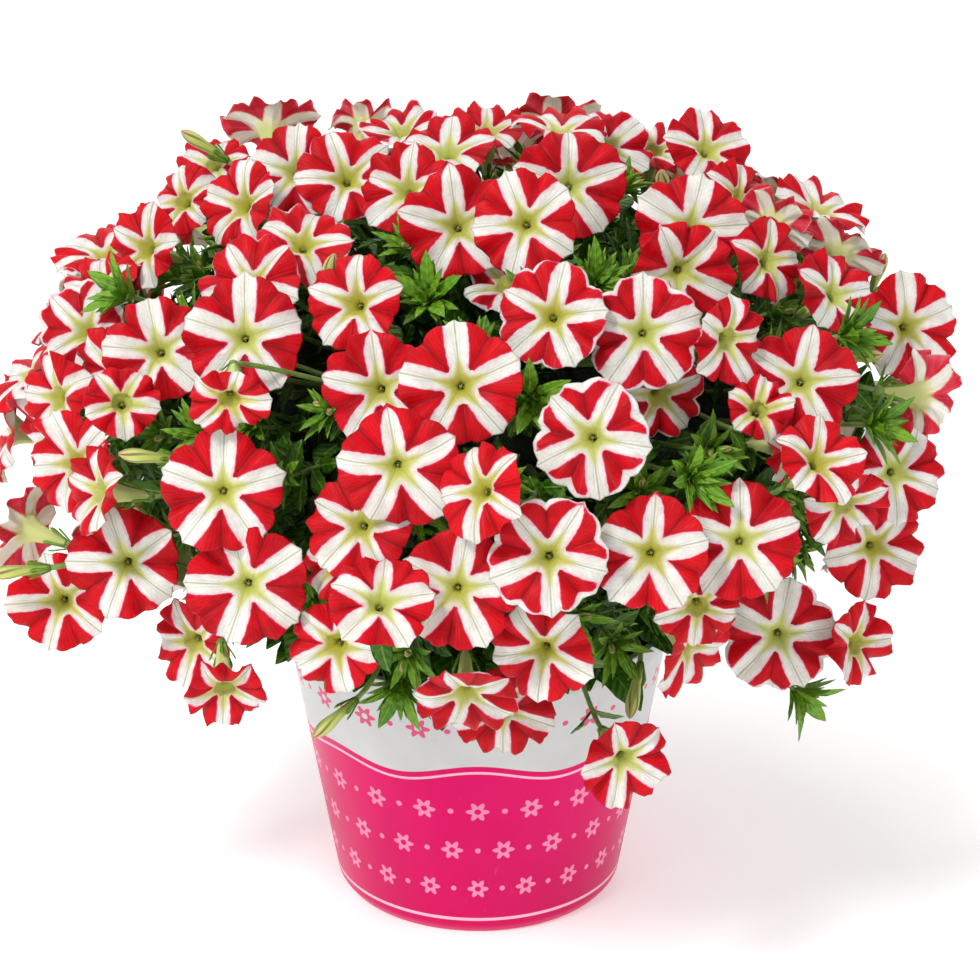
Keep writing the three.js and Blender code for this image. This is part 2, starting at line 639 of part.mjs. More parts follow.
// A bloom with its stalk down to the fork: face, rim, tube, then the stalk
function bloomBody(bloom, fork) {
  const { top, right } = bloomFrame(bloom);
  const spot = (degrees, radius, height) => {
    const turn = radians(degrees);
    const out = plus(times(top, Math.cos(turn)), times(right, Math.sin(turn)));
    return plus(bloom.place, plus(times(out, radius), times(bloom.axis, height)));
  };
  const rim = [];
  const throat = [];
  const neck = [];
  const step = 360 / LOBES;
  const edge = faceHeight(1) - LIMB_THICK / 2;
  const first = bloom.ray - step * Math.round(bloom.ray / step);
  for (let i = 0; i < LOBES; i += 1) {
    const tip = first + step * i;
    const notch = tip + step / 2;
    rim.push(spot(tip, bloom.reach, edge - RIM_WAVE), spot(notch, bloom.reach * NOTCH, edge + RIM_WAVE));
    throat.push(spot(tip, THROAT_RADIUS, faceHeight(THROAT_RADIUS / bloom.reach)));
    neck.push(spot(tip, TUBE_TOP_RADIUS, -1.5));
  }
  const end = bloom.end;
  const toFork = unit(minus(end, fork));
  const bend = unit(plus(bloom.axis, toFork));
  const tubeRing = ring(end, times(bend, -1), top, TUBE_END_RADIUS, STALK_SIDES);
  const stalkRing = ring(fork, times(toFork, -1), squareTo(bend, top), STALK_RADIUS, STALK_SIDES);
  const points = [
    spot(0, 0, -THROAT_DEPTH), ...throat, ...rim, ...neck, ...tubeRing, ...stalkRing];
  const T = 1;
  const R = T + LOBES;
  const N = R + 2 * LOBES;
  const E = N + LOBES;
  const S = E + STALK_SIDES;
  const faces = [];
  for (let i = 0; i < LOBES; i += 1) {
    const j = (i + 1) % LOBES;
    const tip = 2 * i;
    const notch = tip + 1;
    const next = 2 * j;
    faces.push([0, T + j, T + i]);
    faces.push([T + i, R + notch, R + tip], [T + i, T + j, R + notch], [T + j, R + next, R + notch]);
    faces.push([N + i, R + tip, R + notch], [N + i, R + notch, N + j], [N + j, R + notch, R + next]);
    const a = Math.floor(i * STALK_SIDES / LOBES);
    const b = Math.floor((i + 1) * STALK_SIDES / LOBES) % STALK_SIDES;
    faces.push([N + i, N + j, E + b]);
    if (a !== b) faces.push([N + i, E + b, E + a]);
  }
  faces.push(...band(E, S, STALK_SIDES), [S, S + 1, S + 2]);
  return solid(points, faces);
}

function sprayBody(item) {
  const up = unit(minus(item.fork, item.root));
  const seat = minus(item.fork, times(up, FORK_SEAT));
  let body = rod([
    { at: item.root, radius: SPRAY_STALK_RADIUS },
    { at: item.fork, radius: SPRAY_STALK_RADIUS },
  ], SPRAY_STALK_SIDES);
  for (const bloom of item.blooms) {
    const side = squareTo(up, minus(bloom.end, item.fork));
    body = body.add(bloomBody(bloom, plus(seat, side)));
  }
  return body;
}

function sprayHole(item) {
  const up = unit(minus(item.fork, item.root));
  const radius = SPRAY_STALK_RADIUS + FIT_GAP * 1.5;
  return rod([
    { at: minus(item.root, times(up, FIT_GAP)), radius },
    { at: plus(item.fork, times(up, 20)), radius },
  ], SPRAY_STALK_SIDES);
}

// ---- leafy stems ----

// One wedge of the dense inside: a closed fan of profile rings with two flat sides
function wedge(index) {
  const slot = 2 * Math.PI / STEMS;
  const parts = 4;
  const profile = [[3, CORE_FOOT], [CORE_NECK, CORE_FOOT], [CORE_NECK + 3, CORE_FOOT + 34]];
  for (const s of [-0.8, -0.5, -0.15, 0.2, 0.55, 0.85]) {
    const tall = s > 0 ? CORE_ABOVE : CORE_BELOW;
    profile.push([CORE_HALF_WIDTH * Math.sqrt(1 - s * s), CORE_MIDDLE + s * tall]);
  }
  profile.push([3, CORE_MIDDLE + CORE_ABOVE]);
  const shiftTurn = slot * (index + 0.5);
  const shift = [WEDGE_SHIFT * Math.cos(shiftTurn), WEDGE_SHIFT * Math.sin(shiftTurn), 0];
  const points = [];
  const faces = [];
  const n = profile.length;
  for (let k = 0; k <= parts; k += 1) {
    const turn = slot * (index + k / parts);
    profile.forEach(([radius, z], ring) => {
      const lump = ring > 2 ? 1 + CORE_LUMPS * Math.sin(9 * turn + 2.4 * ring) : 1;
      points.push(plus(shift, [lump * radius * Math.cos(turn), lump * radius * Math.sin(turn), z]));
    });
  }
  for (let k = 0; k < parts; k += 1) {
    for (let i = 0; i < n; i += 1) {
      const j = (i + 1) % n;
      const [a, b, c, d] = [k * n + i, (k + 1) * n + i, (k + 1) * n + j, k * n + j];
      faces.push([a, b, c], [a, c, d]);
    }
  }
  const outline = profile.map(([radius, z]) => new THREE.Vector2(radius, z));
  for (const [p, q, r] of THREE.ShapeUtils.triangulateShape(outline, [])) {
    faces.push([p, q, r]);
    faces.push([parts * n + p, parts * n + r, parts * n + q]);
  }
  return solid(points, faces);
}

// A leaf blade: an oval outline from its root to its tip, thickest along the mid-rib.
// `droop` lowers the tip and `fold` raises the edges.
function blade(root, along, up, shape) {
  const side = unit(cross(along, up));
  const lift = cross(side, along);
  const { length, width, fold, droop, thick } = shape;
  const at = (l, s, h) => plus(root, plus(
    times(along, l * length), plus(times(side, s * width / 2), times(lift, h))));
  const points = [
    at(0, 0, 0), at(0.3, -0.8, fold), at(0.68, -0.85, fold - droop * 0.4),
    at(1, 0, -droop), at(0.68, 0.85, fold - droop * 0.4), at(0.3, 0.8, fold),
    at(0.5, 0, 0), at(0.5, 0, -thick),
  ];
  const faces = [];
  for (let i = 0; i < 6; i += 1) {
    const j = (i + 1) % 6;
    faces.push([6, j, i], [7, i, j]);
  }
  return { points, faces, root, along, side, lift, shape, probes: bladeProbes(points) };
}

// Whether a point lies in or close to a blade, away from its root
function insideBlade(leaf, point) {
  const { length, width, fold, droop } = leaf.shape;
  const d = minus(point, leaf.root);
  const l = dot(d, leaf.along) / length;
  const s = Math.abs(dot(d, leaf.side)) / (width / 2);
  const h = dot(d, leaf.lift) - fold * Math.min(1, s) + droop * l * l;
  return l > 0.25 && l < 1.04 && s < 1.1 && h < LEAF_ROOM && h > -LEAF_ROOM - 1;
}

function insideWedge(index, points) {
  const slot = 2 * Math.PI / STEMS;
  const [low, high] = [slot * index, slot * (index + 1)];
  return points.every(([x, y]) => (
    -Math.sin(low) * x + Math.cos(low) * y > 1 && Math.sin(high) * x - Math.cos(high) * y > 1));
}

function insidePot(point) {
  return point[2] < POT_HEIGHT + 2 && Math.hypot(point[0], point[1]) < potRadius(POT_HEIGHT) + 7;
}

// Points on a blade, close enough that no stalk slips between them
function bladeProbes(points) {
  const [root, lowLeft, highLeft, tip, highRight, lowRight] = points;
  const mix = (a, b, t) => plus(times(a, 1 - t), times(b, t));
  const probes = [tip];
  const rows = [
    [root, root, lowLeft, lowRight], [lowLeft, lowRight, highLeft, highRight],
    [highLeft, highRight, tip, tip]];
  for (const [a, b, c, d] of rows) {
    for (let i = 0; i < 4; i += 1) {
      const [left, right] = [mix(a, c, i / 4), mix(b, d, i / 4)];
      for (let k = 0; k <= 4; k += 1) probes.push(mix(left, right, k / 4));
    }
  }
  return probes;
}

function meetsSprays(points, sprays) {
  return sprays.some((item) => points.some((p) => (
    lineDistance(p, item.root, item.fork) < SPRAY_STALK_RADIUS + LEAF_ROOM
    || item.blooms.some((bloom) => (
      insideBloom(bloom, p, LEAF_ROOM)
      || lineDistance(p, bloom.end, item.fork) < STALK_RADIUS + LEAF_ROOM)))));
}

function placeLeaves(sprays, leaves, buds, count, seed, usual) {
  const draw = draws(seed);
  for (let i = 0; i < count; i += 1) {
    const direction = spiralPoint(i, count);
    const drawn = [draw() - 0.5, draw() - 0.5, draw() - 0.5];
    const length = usual * (0.85 + 0.35 * draw());
    if (direction[2] < LEAF_LOWEST) continue;
    const at = onCore(direction, 1);
    const out = unit(direction);
    const rise = direction[2] < LEAF_LOW ? -0.12 : 0.15;
    for (const lean of [0.9, -0.9, 1.5, -1.5]) {
      const along = unit(plus(plus(out, [0, 0, rise]), times(drawn, lean)));
      const root = minus(at, times(out, LEAF_SUNK));
      const up = Math.abs(along[2]) < 0.85 ? [0, 0, 1] : out;
      const leaf = blade(root, along, up, {
        length: length + LEAF_SUNK, width: LEAF_ASPECT * length,
        fold: LEAF_FOLD, droop: LEAF_DROOP, thick: LEAF_THICK });
      if (!meetsBuds(leaf, buds) && keepLeaf(leaf, stemOf(at), sprays, leaves)) {
        leaves.push({ index: stemOf(at), ...leaf });
        break;
      }
    }
  }
}

// The leaves over the rim, each longer or shorter and turned a little
function placeSkirt(sprays, leaves, buds) {
  const draw = draws(19);
  for (let i = 0; i < SKIRT_LEAVES; i += 1) {
    const length = SKIRT_LENGTH * (0.88 + 0.3 * draw());
    const place = 2 * Math.PI * (i + 0.5) / SKIRT_LEAVES;
    for (const [lean, slope] of [[0.3, 0], [-0.3, 0], [0.15, 0.25], [-0.15, -0.2]]) {
      const turn = place + lean * (draw() - 0.5);
      const out = [Math.cos(place), Math.sin(place), 0];
      const root = plus(times(out, SKIRT_ROOT_RADIUS), [0, 0, SKIRT_ROOT_HEIGHT + 6 * (draw() - 0.5)]);
      const along = unit([Math.cos(turn), Math.sin(turn), SKIRT_SLOPE + slope]);
      const leaf = blade(root, along, [0, 0, 1], {
        length, width: SKIRT_ASPECT * length,
        fold: LEAF_FOLD, droop: LEAF_DROOP, thick: LEAF_THICK });
      const index = stemOf(root);
      if (!meetsBuds(leaf, buds) && keepLeaf(leaf, index, sprays, leaves)) {
        leaves.push({ index, ...leaf });
        break;
      }
    }
  }
}

function meetsBuds(leaf, buds) {
  return leaf.probes.some((p) => buds.some((bud) => (
    lineDistance(p, bud.root, bud.foot) < LEAF_ROOM + STALK_RADIUS
    || lineDistance(p, bud.foot, bud.tip) < LEAF_ROOM + BUD_RADIUS)));
}

function keepLeaf(leaf, index, sprays, leaves) {
  if (!insideWedge(index, leaf.points) || leaf.probes.some(insidePot)) return false;
  const close = leaves.filter((other) => size(minus(other.root, leaf.root)) < 70);
  if (close.some((other) => leaf.probes.some((p) => insideBlade(other, p)))) return false;
  if (close.some((other) => other.probes.some((p) => insideBlade(leaf, p)))) return false;
  return !meetsSprays(leaf.probes, sprays);
}

// Points along a line, close enough to find what crosses it
function lineProbes(a, b) {
  const points = [];
  const count = Math.ceil(size(minus(b, a)) / 3);
  for (let i = 0; i <= count; i += 1) points.push(plus(a, times(minus(b, a), i / count)));
  return points;
}

function lineKept(points, index, sprays, leaves) {
  return insideWedge(index, points) && !points.some(insidePot) && !meetsSprays(points, sprays)
    && !leaves.some((leaf) => points.some((p) => insideBlade(leaf, p)));
}

// The places of the buds: root in the core, foot, middle and tip of each that stands clear
function placeBuds(sprays, leaves) {
  const buds = [];
  for (const seen of BUDS) {
    const { place, ray } = seenOnMound(seen.at);
    const axis = facing(seen.lean, false);
    for (const step of DEPTH_STEPS) {
      const middle = plus(place, times(ray, step));
      const foot = minus(middle, times(axis, BUD_LENGTH / 2));
      const tip = plus(middle, times(axis, BUD_LENGTH / 2));
      const out = unit(minus(foot, [0, 0, CORE_MIDDLE]));
      const root = minus(onCore(out, 1), times(out, LEAF_SUNK));
      const index = stemOf(root);
      const wide = [-1, 1].map((k) => plus(middle, times(cross(axis, ray), k * BUD_RADIUS)));
      const points = [...lineProbes(onCore(out, 1), foot), ...lineProbes(foot, tip), ...wide];
      if (coreLevel(foot) > CORE_ROOM && lineKept(points, index, sprays, leaves)) {
        buds.push({ index, root, foot, middle, tip });
        break;
      }
    }
  }
  return buds;
}

// The places of the tufts: root in the core, tip of the stalk, and the blades round it
function placeTufts(sprays, leaves) {
  const tufts = [];
  for (const seen of TUFTS) {
    const { place, ray } = seenOnMound(seen.at);
    for (const step of DEPTH_STEPS) {
      const top = plus(place, times(ray, TUFT_DEPTH + step));
      const out = unit(minus(top, [0, 0, CORE_MIDDLE]));
      const root = minus(onCore(out, 1), times(out, LEAF_SUNK));
      const index = stemOf(root);
      if (coreLevel(top) < CORE_ROOM || !lineKept(lineProbes(root, top), index, sprays, leaves)) continue;
      const side = squareTo(out, [0.2, 0, 1]);
      const other = cross(out, side);
      const blades = [];
      for (let i = 0; i < TUFT_BLADES; i += 1) {
        const turn = 2 * Math.PI * (i + 0.25) / TUFT_BLADES;
        const lean = plus(times(side, Math.cos(turn)), times(other, Math.sin(turn)));
        const along = unit(plus(out, times(lean, TUFT_SPREAD)));
        const leaf = blade(minus(top, times(out, 2)), along, out, {
          length: TUFT_LENGTH, width: TUFT_WIDTH, fold: 1, droop: 2, thick: LEAF_THICK });
        if (keepLeaf(leaf, index, sprays, leaves)) blades.push(leaf);
      }
      if (blades.length < TUFT_BLADES - 1) continue;
      tufts.push({ index, root, top, blades });
      leaves.push(...blades.map((leaf) => ({ index, ...leaf })));
      break;
    }
  }
  return tufts;
}

function budBody(bud) {
  return rod([
    { at: bud.root, radius: STALK_RADIUS }, { at: bud.foot, radius: STALK_RADIUS },
    { at: bud.middle, radius: BUD_RADIUS }, { at: bud.tip, radius: BUD_TIP_RADIUS },
  ], STALK_SIDES);
}

function tuftStalk(tuft) {
  return rod([
    { at: tuft.root, radius: TUFT_STALK_RADIUS }, { at: tuft.top, radius: TUFT_STALK_RADIUS },
  ], STALK_SIDES);
}

function leafyStem(index, sprays, leaves, buds, tufts) {
  const [x, y] = stemPlace(index);
  let body = wedge(index).add(rod([
    { at: [x, y, SOIL_TOP - STEM_HOLE_DEPTH], radius: STEM_RADIUS },
    { at: [x, y, CORE_FOOT + 8], radius: STEM_RADIUS },
  ], 6));
  const own = (item) => item.index === index;
  for (const tuft of tufts.filter(own)) body = body.add(tuftStalk(tuft));
  for (const bud of buds.filter(own)) body = body.add(budBody(bud));
  for (const leaf of leaves.filter(own)) body = body.add(solid(leaf.points, leaf.faces));
  for (const item of sprays) {
    if (stemOf(item.fork) === index) body = body.subtract(sprayHole(item));
  }
  return body.asOriginal().simplify(FINEST);
}

// ---- the plant ----

const group = new THREE.Group();

function addPart(name, body, look) {
  const mesh = body.getMesh();
  const geometry = new THREE.BufferGeometry();
  geometry.setAttribute('position', new THREE.BufferAttribute(
    Float32Array.from(mesh.vertProperties), 3));
  geometry.setIndex(new THREE.BufferAttribute(Uint32Array.from(mesh.triVerts), 1));
  const part = new THREE.Mesh(geometry, new THREE.MeshStandardMaterial(look));
  part.name = name;
  group.add(part);
}

const PINK = { color: 0xe8407f, roughness: 0.35, metalness: 0 };
const EARTH = { color: 0x2c2018, roughness: 1, metalness: 0 };
const GREEN = { color: 0x3f6b22, roughness: 0.6, metalness: 0 };
const RED = { color: 0xc81e2d, roughness: 0.6, metalness: 0 };

const blooms = [];
placeNearBlooms(blooms);
placeFarBlooms(blooms, FAR_SPIRAL_POINTS, 41);
placeFarBlooms(blooms, FAR_FILL_POINTS, 43);
const sprays = makeSprays(blooms);
const leaves = [];
const tufts = placeTufts(sprays, leaves);
const buds = placeBuds(sprays, leaves);
placeSkirt(sprays, leaves, buds);
placeLeaves(sprays, leaves, buds, LEAF_SPIRAL_POINTS, 7, LEAF_LENGTH);
placeLeaves(sprays, leaves, buds, LEAF_FILL_POINTS, 11, LEAF_FILL_LENGTH);

addPart('pot', pot(), PINK);
addPart('soil', soil(), EARTH);
for (let i = 0; i < STEMS; i += 1) {
  addPart(`leafy_stem_${i + 1}`, leafyStem(i, sprays, leaves, buds, tufts), GREEN);
}
sprays.forEach((item, i) => addPart(`spray_${i + 1}`, sprayBody(item), RED));

export default group;
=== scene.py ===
"""Potted petunia: ruffled star-marked blooms on sprays, leafy stems, a printed pot and its soil.

The rule that places every bloom, leaf, tuft and bud is the one that shapes the solids, so that each
detailed piece stands where its solid does. Millimetres in the rule, metres in the meshes.
X is to the viewer's right, the viewer stands on the -Y side, and Z is up.
"""
import math

import bpy
from mathutils import Matrix
import numpy as np


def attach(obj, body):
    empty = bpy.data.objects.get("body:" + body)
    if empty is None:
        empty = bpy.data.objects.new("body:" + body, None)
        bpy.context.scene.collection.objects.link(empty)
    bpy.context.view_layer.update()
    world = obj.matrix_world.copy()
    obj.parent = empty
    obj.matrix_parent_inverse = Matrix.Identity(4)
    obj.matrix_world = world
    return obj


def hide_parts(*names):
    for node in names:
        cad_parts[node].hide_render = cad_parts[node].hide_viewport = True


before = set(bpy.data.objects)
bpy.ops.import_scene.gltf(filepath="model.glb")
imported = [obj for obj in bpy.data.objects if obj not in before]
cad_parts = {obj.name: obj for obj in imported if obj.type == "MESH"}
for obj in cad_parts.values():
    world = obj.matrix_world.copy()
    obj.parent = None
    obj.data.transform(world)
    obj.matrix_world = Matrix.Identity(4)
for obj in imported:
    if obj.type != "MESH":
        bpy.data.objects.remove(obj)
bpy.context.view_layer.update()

MM = 0.001

# Pot
POT_BASE_RADIUS = 82
POT_HEIGHT = 170
POT_TAPER = 0.172
POT_WALL = 2.4
POT_FLOOR = 3
POT_FOOT_ROUND = 5
POT_RIM_OUT = 3
POT_RIM_TALL = 11

# Soil
SOIL_TOP = 150
FIT_GAP = 0.35
STEM_HOLE_DEPTH = 22

# Mound: the throats of the blooms lie on its surface
MOUND_HALF = np.array([250.0, 242.0, 132.0])
MOUND_CENTRE = np.array([0.0, 0.0, 297.0])

# Leafy stems and the dense inside of the plant
STEMS = 8
CORE_CENTRE = np.array([0.0, 0.0, 285.0])
CORE_HALF_WIDTH = 168
CORE_ABOVE = 72
CORE_BELOW = 98
CORE_LUMPS = 0.035
CORE_NECK = 95
CORE_FOOT = 158
WEDGE_SHIFT = 1
STEM_REACH = 62

# Bloom
TUBE_LENGTH = 27
TUBE_TOP_RADIUS = 7
TUBE_END_RADIUS = 2.2
STALK_RADIUS = 1.2
LOBES = 5

# Spray
SPRAY_STALK_RADIUS = 2.6
SPRAY_SIZE = 4
SPRAY_SPREAD = 88
CORE_ROOM = 1.06
BLOOM_ROOM = 1.6
STALK_ROOM = 2
STALK_BEND = -0.2
FORK_SHIFTS = [
    (0, 0), (0.2, 0), (-0.2, 0), (0, 0.2), (0, -0.2), (0.35, 0), (-0.35, 0), (0, 0.35), (0, -0.35),
    (0.3, 0.3), (-0.3, 0.3), (0.3, -0.3), (-0.3, -0.3), (0.5, 0), (-0.5, 0), (0, 0.5), (0, -0.5),
]
ROOT_DEPTH = 12
FORK_HEIGHT = 9
FORK_SEAT = 2.3

# Things farther apart than this can't meet
BLOOMS_MEET = 100
STALK_MEETS_BLOOM = 110
LEAVES_MEET = 70
LEAF_MEETS_SPRAY = 220

# The front of the plant as seen from one place: degrees, mm, and picture dots of 980 across
VIEW_RISE = 22.5
VIEW_DISTANCE = 1784
VIEW_AIM = np.array([6.8, 0.0, 240.0])
VIEW_FOCAL = 3158
VIEW_CENTRE = 490

# Blooms on the near side: (x, y) of the throat as seen, (right, up) lean of the face, clock angle
# of one white ray, mm from throat to rim, and whether the face turns away
NEAR_BLOOMS = [
    (223, 491, 0, 0, 2, 32, 0), (461, 386, 0, 0, -6, 32, 0), (569, 186, 0.05, 0.1, 0, 32, 0),
    (643, 333, 0, 0, 0, 31, 0), (740, 541, 0, 0.05, 0, 32, 0), (458, 588, 0, -0.05, 10, 31, 0),
    (549, 556, -0.05, -0.05, 33, 31, 0), (651, 553, -0.05, 0, 5, 30, 0), (592, 438, -0.2, 0, 27, 31, 0),
    (398, 466, 0.05, -0.25, -10, 32, 0), (380, 389, -0.2, 0, -6, 29, 0),
    (248, 584, 0, -0.15, -16, 32, 0), (245, 338, 0, 0.1, 0, 32, 0), (458, 227, -0.05, 0.15, -8, 31, 0),
    (689, 229, 0.1, 0.05, 14, 31, 0), (801, 382, 0, 0.1, 12, 30, 0), (905, 327, 0.3, 0, -5, 31, 0),
    (778, 634, 0, -0.2, 10, 32, 0), (127, 562, -0.1, -0.1, -16, 31, 0),
    (63, 600, -0.15, -0.1, -20, 28, 0), (160, 352, -0.1, 0.15, -14, 29, 0),
    (253, 287, -0.25, 0.35, -35, 29, 0), (526, 224, -0.15, 0.1, -22, 29, 0),
    (297, 174, -0.2, 0.2, 0, 29, 0), (347, 181, 0, 0.35, -20, 29, 0), (553, 317, -0.1, 0.15, 12, 29, 0),
    (893, 472, 0.35, 0, 38, 29, 0), (872, 546, 0.35, -0.15, 40, 30, 0), (78, 463, -0.55, 0, -21, 28, 0),
    (88, 333, -0.45, 0.1, 25, 29, 0), (362, 526, -0.3, 0.05, 8, 29, 0),
    (358, 305, -0.35, 0.15, 0, 27, 0), (484, 491, -0.55, 0.2, 190, 26, 0),
    (341, 563, -0.45, 0.1, -70, 27, 0), (380, 605, 0.1, 0.5, 8, 27, 0),
    (657, 394, 0.35, -0.35, 60, 28, 0), (303, 247, 0, 0.55, 15, 27, 0),
    (545, 648, -0.3, -0.35, 190, 28, 0), (503, 708, 0, -0.5, 180, 28, 0),
    (622, 757, 0.35, -0.45, 190, 26, 0), (408, 192, -0.35, 0.3, 5, 27, 0),
    (679, 271, 0.3, -0.3, 40, 29, 0), (246, 207, -0.6, 0.25, 0, 27, 0), (62, 398, -0.7, 0, -10, 25, 0),
    (122, 404, 0.1, 0.2, 30, 20, 0), (119, 372, -0.65, -0.2, 250, 27, 0),
    (186, 203, -0.5, 0.3, -20, 24, 0), (150, 250, -0.6, 0.15, 10, 25, 0),
    (338, 644, -0.3, -0.2, 170, 25, 0), (508, 288, -0.35, 0.6, 20, 23, 0),
    (449, 156, -0.1, 0.7, 0, 27, 0), (402, 136, -0.1, 0.8, 30, 26, 0), (552, 126, 0, 0.9, 0, 31, 1),
    (606, 150, 0.2, 0.5, -20, 27, 0), (652, 154, 0.1, 0.75, 0, 24, 0), (706, 152, 0.3, 0.45, 0, 27, 0),
    (737, 200, 0.7, 0.3, 20, 24, 0), (772, 226, 0.5, 0.7, 0, 23, 1), (765, 262, 0.55, 0.15, 10, 24, 0),
    (838, 254, 0.35, 0.8, 0, 27, 1), (832, 296, 0.6, 0.35, 10, 27, 0),
    (917, 396, 0.85, -0.1, 20, 27, 1), (757, 412, 0.1, 0.3, 15, 17, 0), (786, 448, 0.7, -0.1, 0, 21, 0),
    (815, 464, 0.45, 0.4, 15, 25, 0), (842, 502, 0.35, -0.55, 60, 24, 0),
    (697, 604, 0.1, -0.5, 180, 23, 0), (852, 643, 0.7, -0.15, 10, 24, 0),
    (520, 622, 0, -0.4, 150, 22, 0), (30, 530, -0.85, 0.3, 0, 27, 1), (104, 492, -0.8, 0.1, 0, 25, 0),
    (196, 640, -0.45, -0.35, 200, 25, 0), (224, 684, 0.1, -0.75, 180, 22, 0),
    (103, 290, -0.45, 0.6, -30, 25, 0), (270, 132, -0.1, 0.9, 0, 29, 1),
    (365, 130, 0.15, 0.9, 0, 22, 1), (487, 136, 0, 0.8, 0, 24, 0), (216, 168, -0.3, 0.6, 0, 22, 0),
    (724, 338, 0.6, -0.25, 150, 24, 0), (190, 376, -0.2, -0.3, 10, 24, 0),
    (230, 396, 0, -0.6, 160, 24, 0),
]

# Blooms all round the far side follow two spirals over the mound
FAR_SPIRAL_POINTS = 230
FAR_FILL_POINTS = 157
FAR_FROM_VIEWER = -0.42
FAR_LOWEST = -0.6
FAR_REACH = 30
FAR_REACH_SPREAD = 4

# Leaves
LEAF_SPIRAL_POINTS = 195
LEAF_FILL_POINTS = 30
LEAF_LENGTH = 46
LEAF_FILL_LENGTH = 34
LEAF_ASPECT = 0.5
LEAF_THICK = 1.6
LEAF_FOLD = 2.5
LEAF_DROOP = 4
LEAF_SUNK = 9
LEAF_LOWEST = -0.85
LEAF_LOW = -0.45
LEAF_ROOM = 2.5

# Skirt: leaves all round that lean down over the pot's rim
SKIRT_LEAVES = 34
SKIRT_ROOT_RADIUS = 92
SKIRT_ROOT_HEIGHT = 205
SKIRT_SLOPE = -0.5
SKIRT_LENGTH = 56
SKIRT_ASPECT = 0.41

# Tufts of narrow young leaves at shoot tips: where each is seen
TUFTS = [
    (429, 300), (596, 285), (128, 295), (872, 425), (530, 400), (205, 436), (690, 478), (400, 685),
    (700, 668), (845, 335), (797, 692),
]
TUFT_BLADES = 5
TUFT_LENGTH = 28
TUFT_WIDTH = 8.5
TUFT_SPREAD = 0.9
TUFT_DEPTH = 14

# Long furled buds: where the middle of each is seen and how it leans
BUDS = [
    (205, 146, -0.8, 0.5), (330, 124, -0.3, 0.9), (326, 280, 0.3, 0.8), (150, 457, -0.95, 0.1),
    (20, 571, -0.95, -0.1), (155, 598, -0.8, -0.45), (335, 718, -0.7, -0.6), (635, 690, -0.2, -0.9),
    (832, 728, 0.6, -0.75), (663, 188, -0.1, 0.5), (877, 275, 0.2, 0.7), (856, 356, 0.8, 0),
]
BUD_LENGTH = 32
BUD_RADIUS = 3.8


# ---- vectors ----

def norm(a):
    return math.sqrt(float(a @ a))


def unit(a):
    return a / norm(a)


def square_to(axis, guide):
    """A vector square to `axis` that leans towards `guide`."""
    guide = np.asarray(guide, float)
    return unit(guide - axis * float(guide @ axis))


def side_of(axis, guide=(0, 0, 1), steep=0.9):
    """A vector square to `axis` that leans towards `guide`, or towards X where the axis is steep."""
    return square_to(axis, guide if abs(axis[2]) < steep else (1, 0, 0))


def at_turn(first, second, turn):
    """The way out from an axis, turned from `first` on towards `second`."""
    return first * math.cos(turn) + second * math.sin(turn)


def draws(seed):
    """Evenly spread numbers from 0 to 1, the same for the same seed."""
    state = seed
    while True:
        state = (state * 1664525 + 1013904223) & 0xFFFFFFFF
        yield state / 4294967296


def take(draw, count):
    """The next `count` drawn numbers."""
    return [next(draw) for _ in range(count)]


def drawn_vector(draw):
    """Three drawn numbers from -0.5 to 0.5."""
    return np.array(take(draw, 3)) - 0.5


# ---- places on the mound ----

RISE = math.radians(VIEW_RISE)
VIEW_RIGHT = np.array([1.0, 0.0, 0.0])
VIEW_FORWARD = np.array([0.0, math.cos(RISE), -math.sin(RISE)])
VIEW_UP = np.array([0.0, math.sin(RISE), math.cos(RISE)])
VIEW_PLACE = VIEW_AIM - VIEW_FORWARD * VIEW_DISTANCE


def seen_on_mound(x, y):
    """Where a line of sight meets the mound, or passes nearest to it, and its direction."""
    ray = unit(VIEW_FORWARD + VIEW_RIGHT * ((x - VIEW_CENTRE) / VIEW_FOCAL)
               + VIEW_UP * ((VIEW_CENTRE - y) / VIEW_FOCAL))
    o = (VIEW_PLACE - MOUND_CENTRE) / MOUND_HALF
    d = ray / MOUND_HALF
    dd = float(d @ d)
    nearest = -float(o @ d) / dd
    miss = float(o @ o) - nearest * nearest * dd
    back = math.sqrt((1 - miss) / dd) if miss < 1 else 0.0
    return VIEW_PLACE + ray * (nearest - back), ray


def facing(right, up, away=False):
    toward = math.sqrt(max(0.0, 1 - right * right - up * up))
    return unit(VIEW_RIGHT * right + VIEW_UP * up + VIEW_FORWARD * (toward if away else -toward))


def spiral_point(i, count):
    """Point number i of `count` on a spiral over a unit ball, from the top down."""
    z = 1 - (2 * i + 1) / count
    across = math.sqrt(1 - z * z)
    turn = i * math.pi * (3 - math.sqrt(5))
    return np.array([across * math.cos(turn), across * math.sin(turn), z])


def on_core(direction, part=1.0):
    tall = CORE_ABOVE if direction[2] > 0 else CORE_BELOW
    flat = direction[0] * direction[0] + direction[1] * direction[1]
    k = part / math.sqrt(flat / CORE_HALF_WIDTH ** 2 + direction[2] * direction[2] / tall ** 2)
    return CORE_CENTRE + direction * k


def core_level(points):
    """How far out of the core each point lies: 1 on its surface."""
    p = np.atleast_2d(points)
    tall = np.where(p[:, 2] > CORE_CENTRE[2], CORE_ABOVE, CORE_BELOW)
    return np.sqrt((p[:, 0] / CORE_HALF_WIDTH) ** 2 + (p[:, 1] / CORE_HALF_WIDTH) ** 2
                   + ((p[:, 2] - CORE_CENTRE[2]) / tall) ** 2)


def pot_radius(z):
    return POT_BASE_RADIUS + POT_TAPER * z


# ---- the room that a bloom takes ----

def face_height(part):
    """Height of a bloom's face above its throat at a part (0 to 1) of its reach."""
    return 5 * (2 * part - part * part) - 1.5 * part ** 4


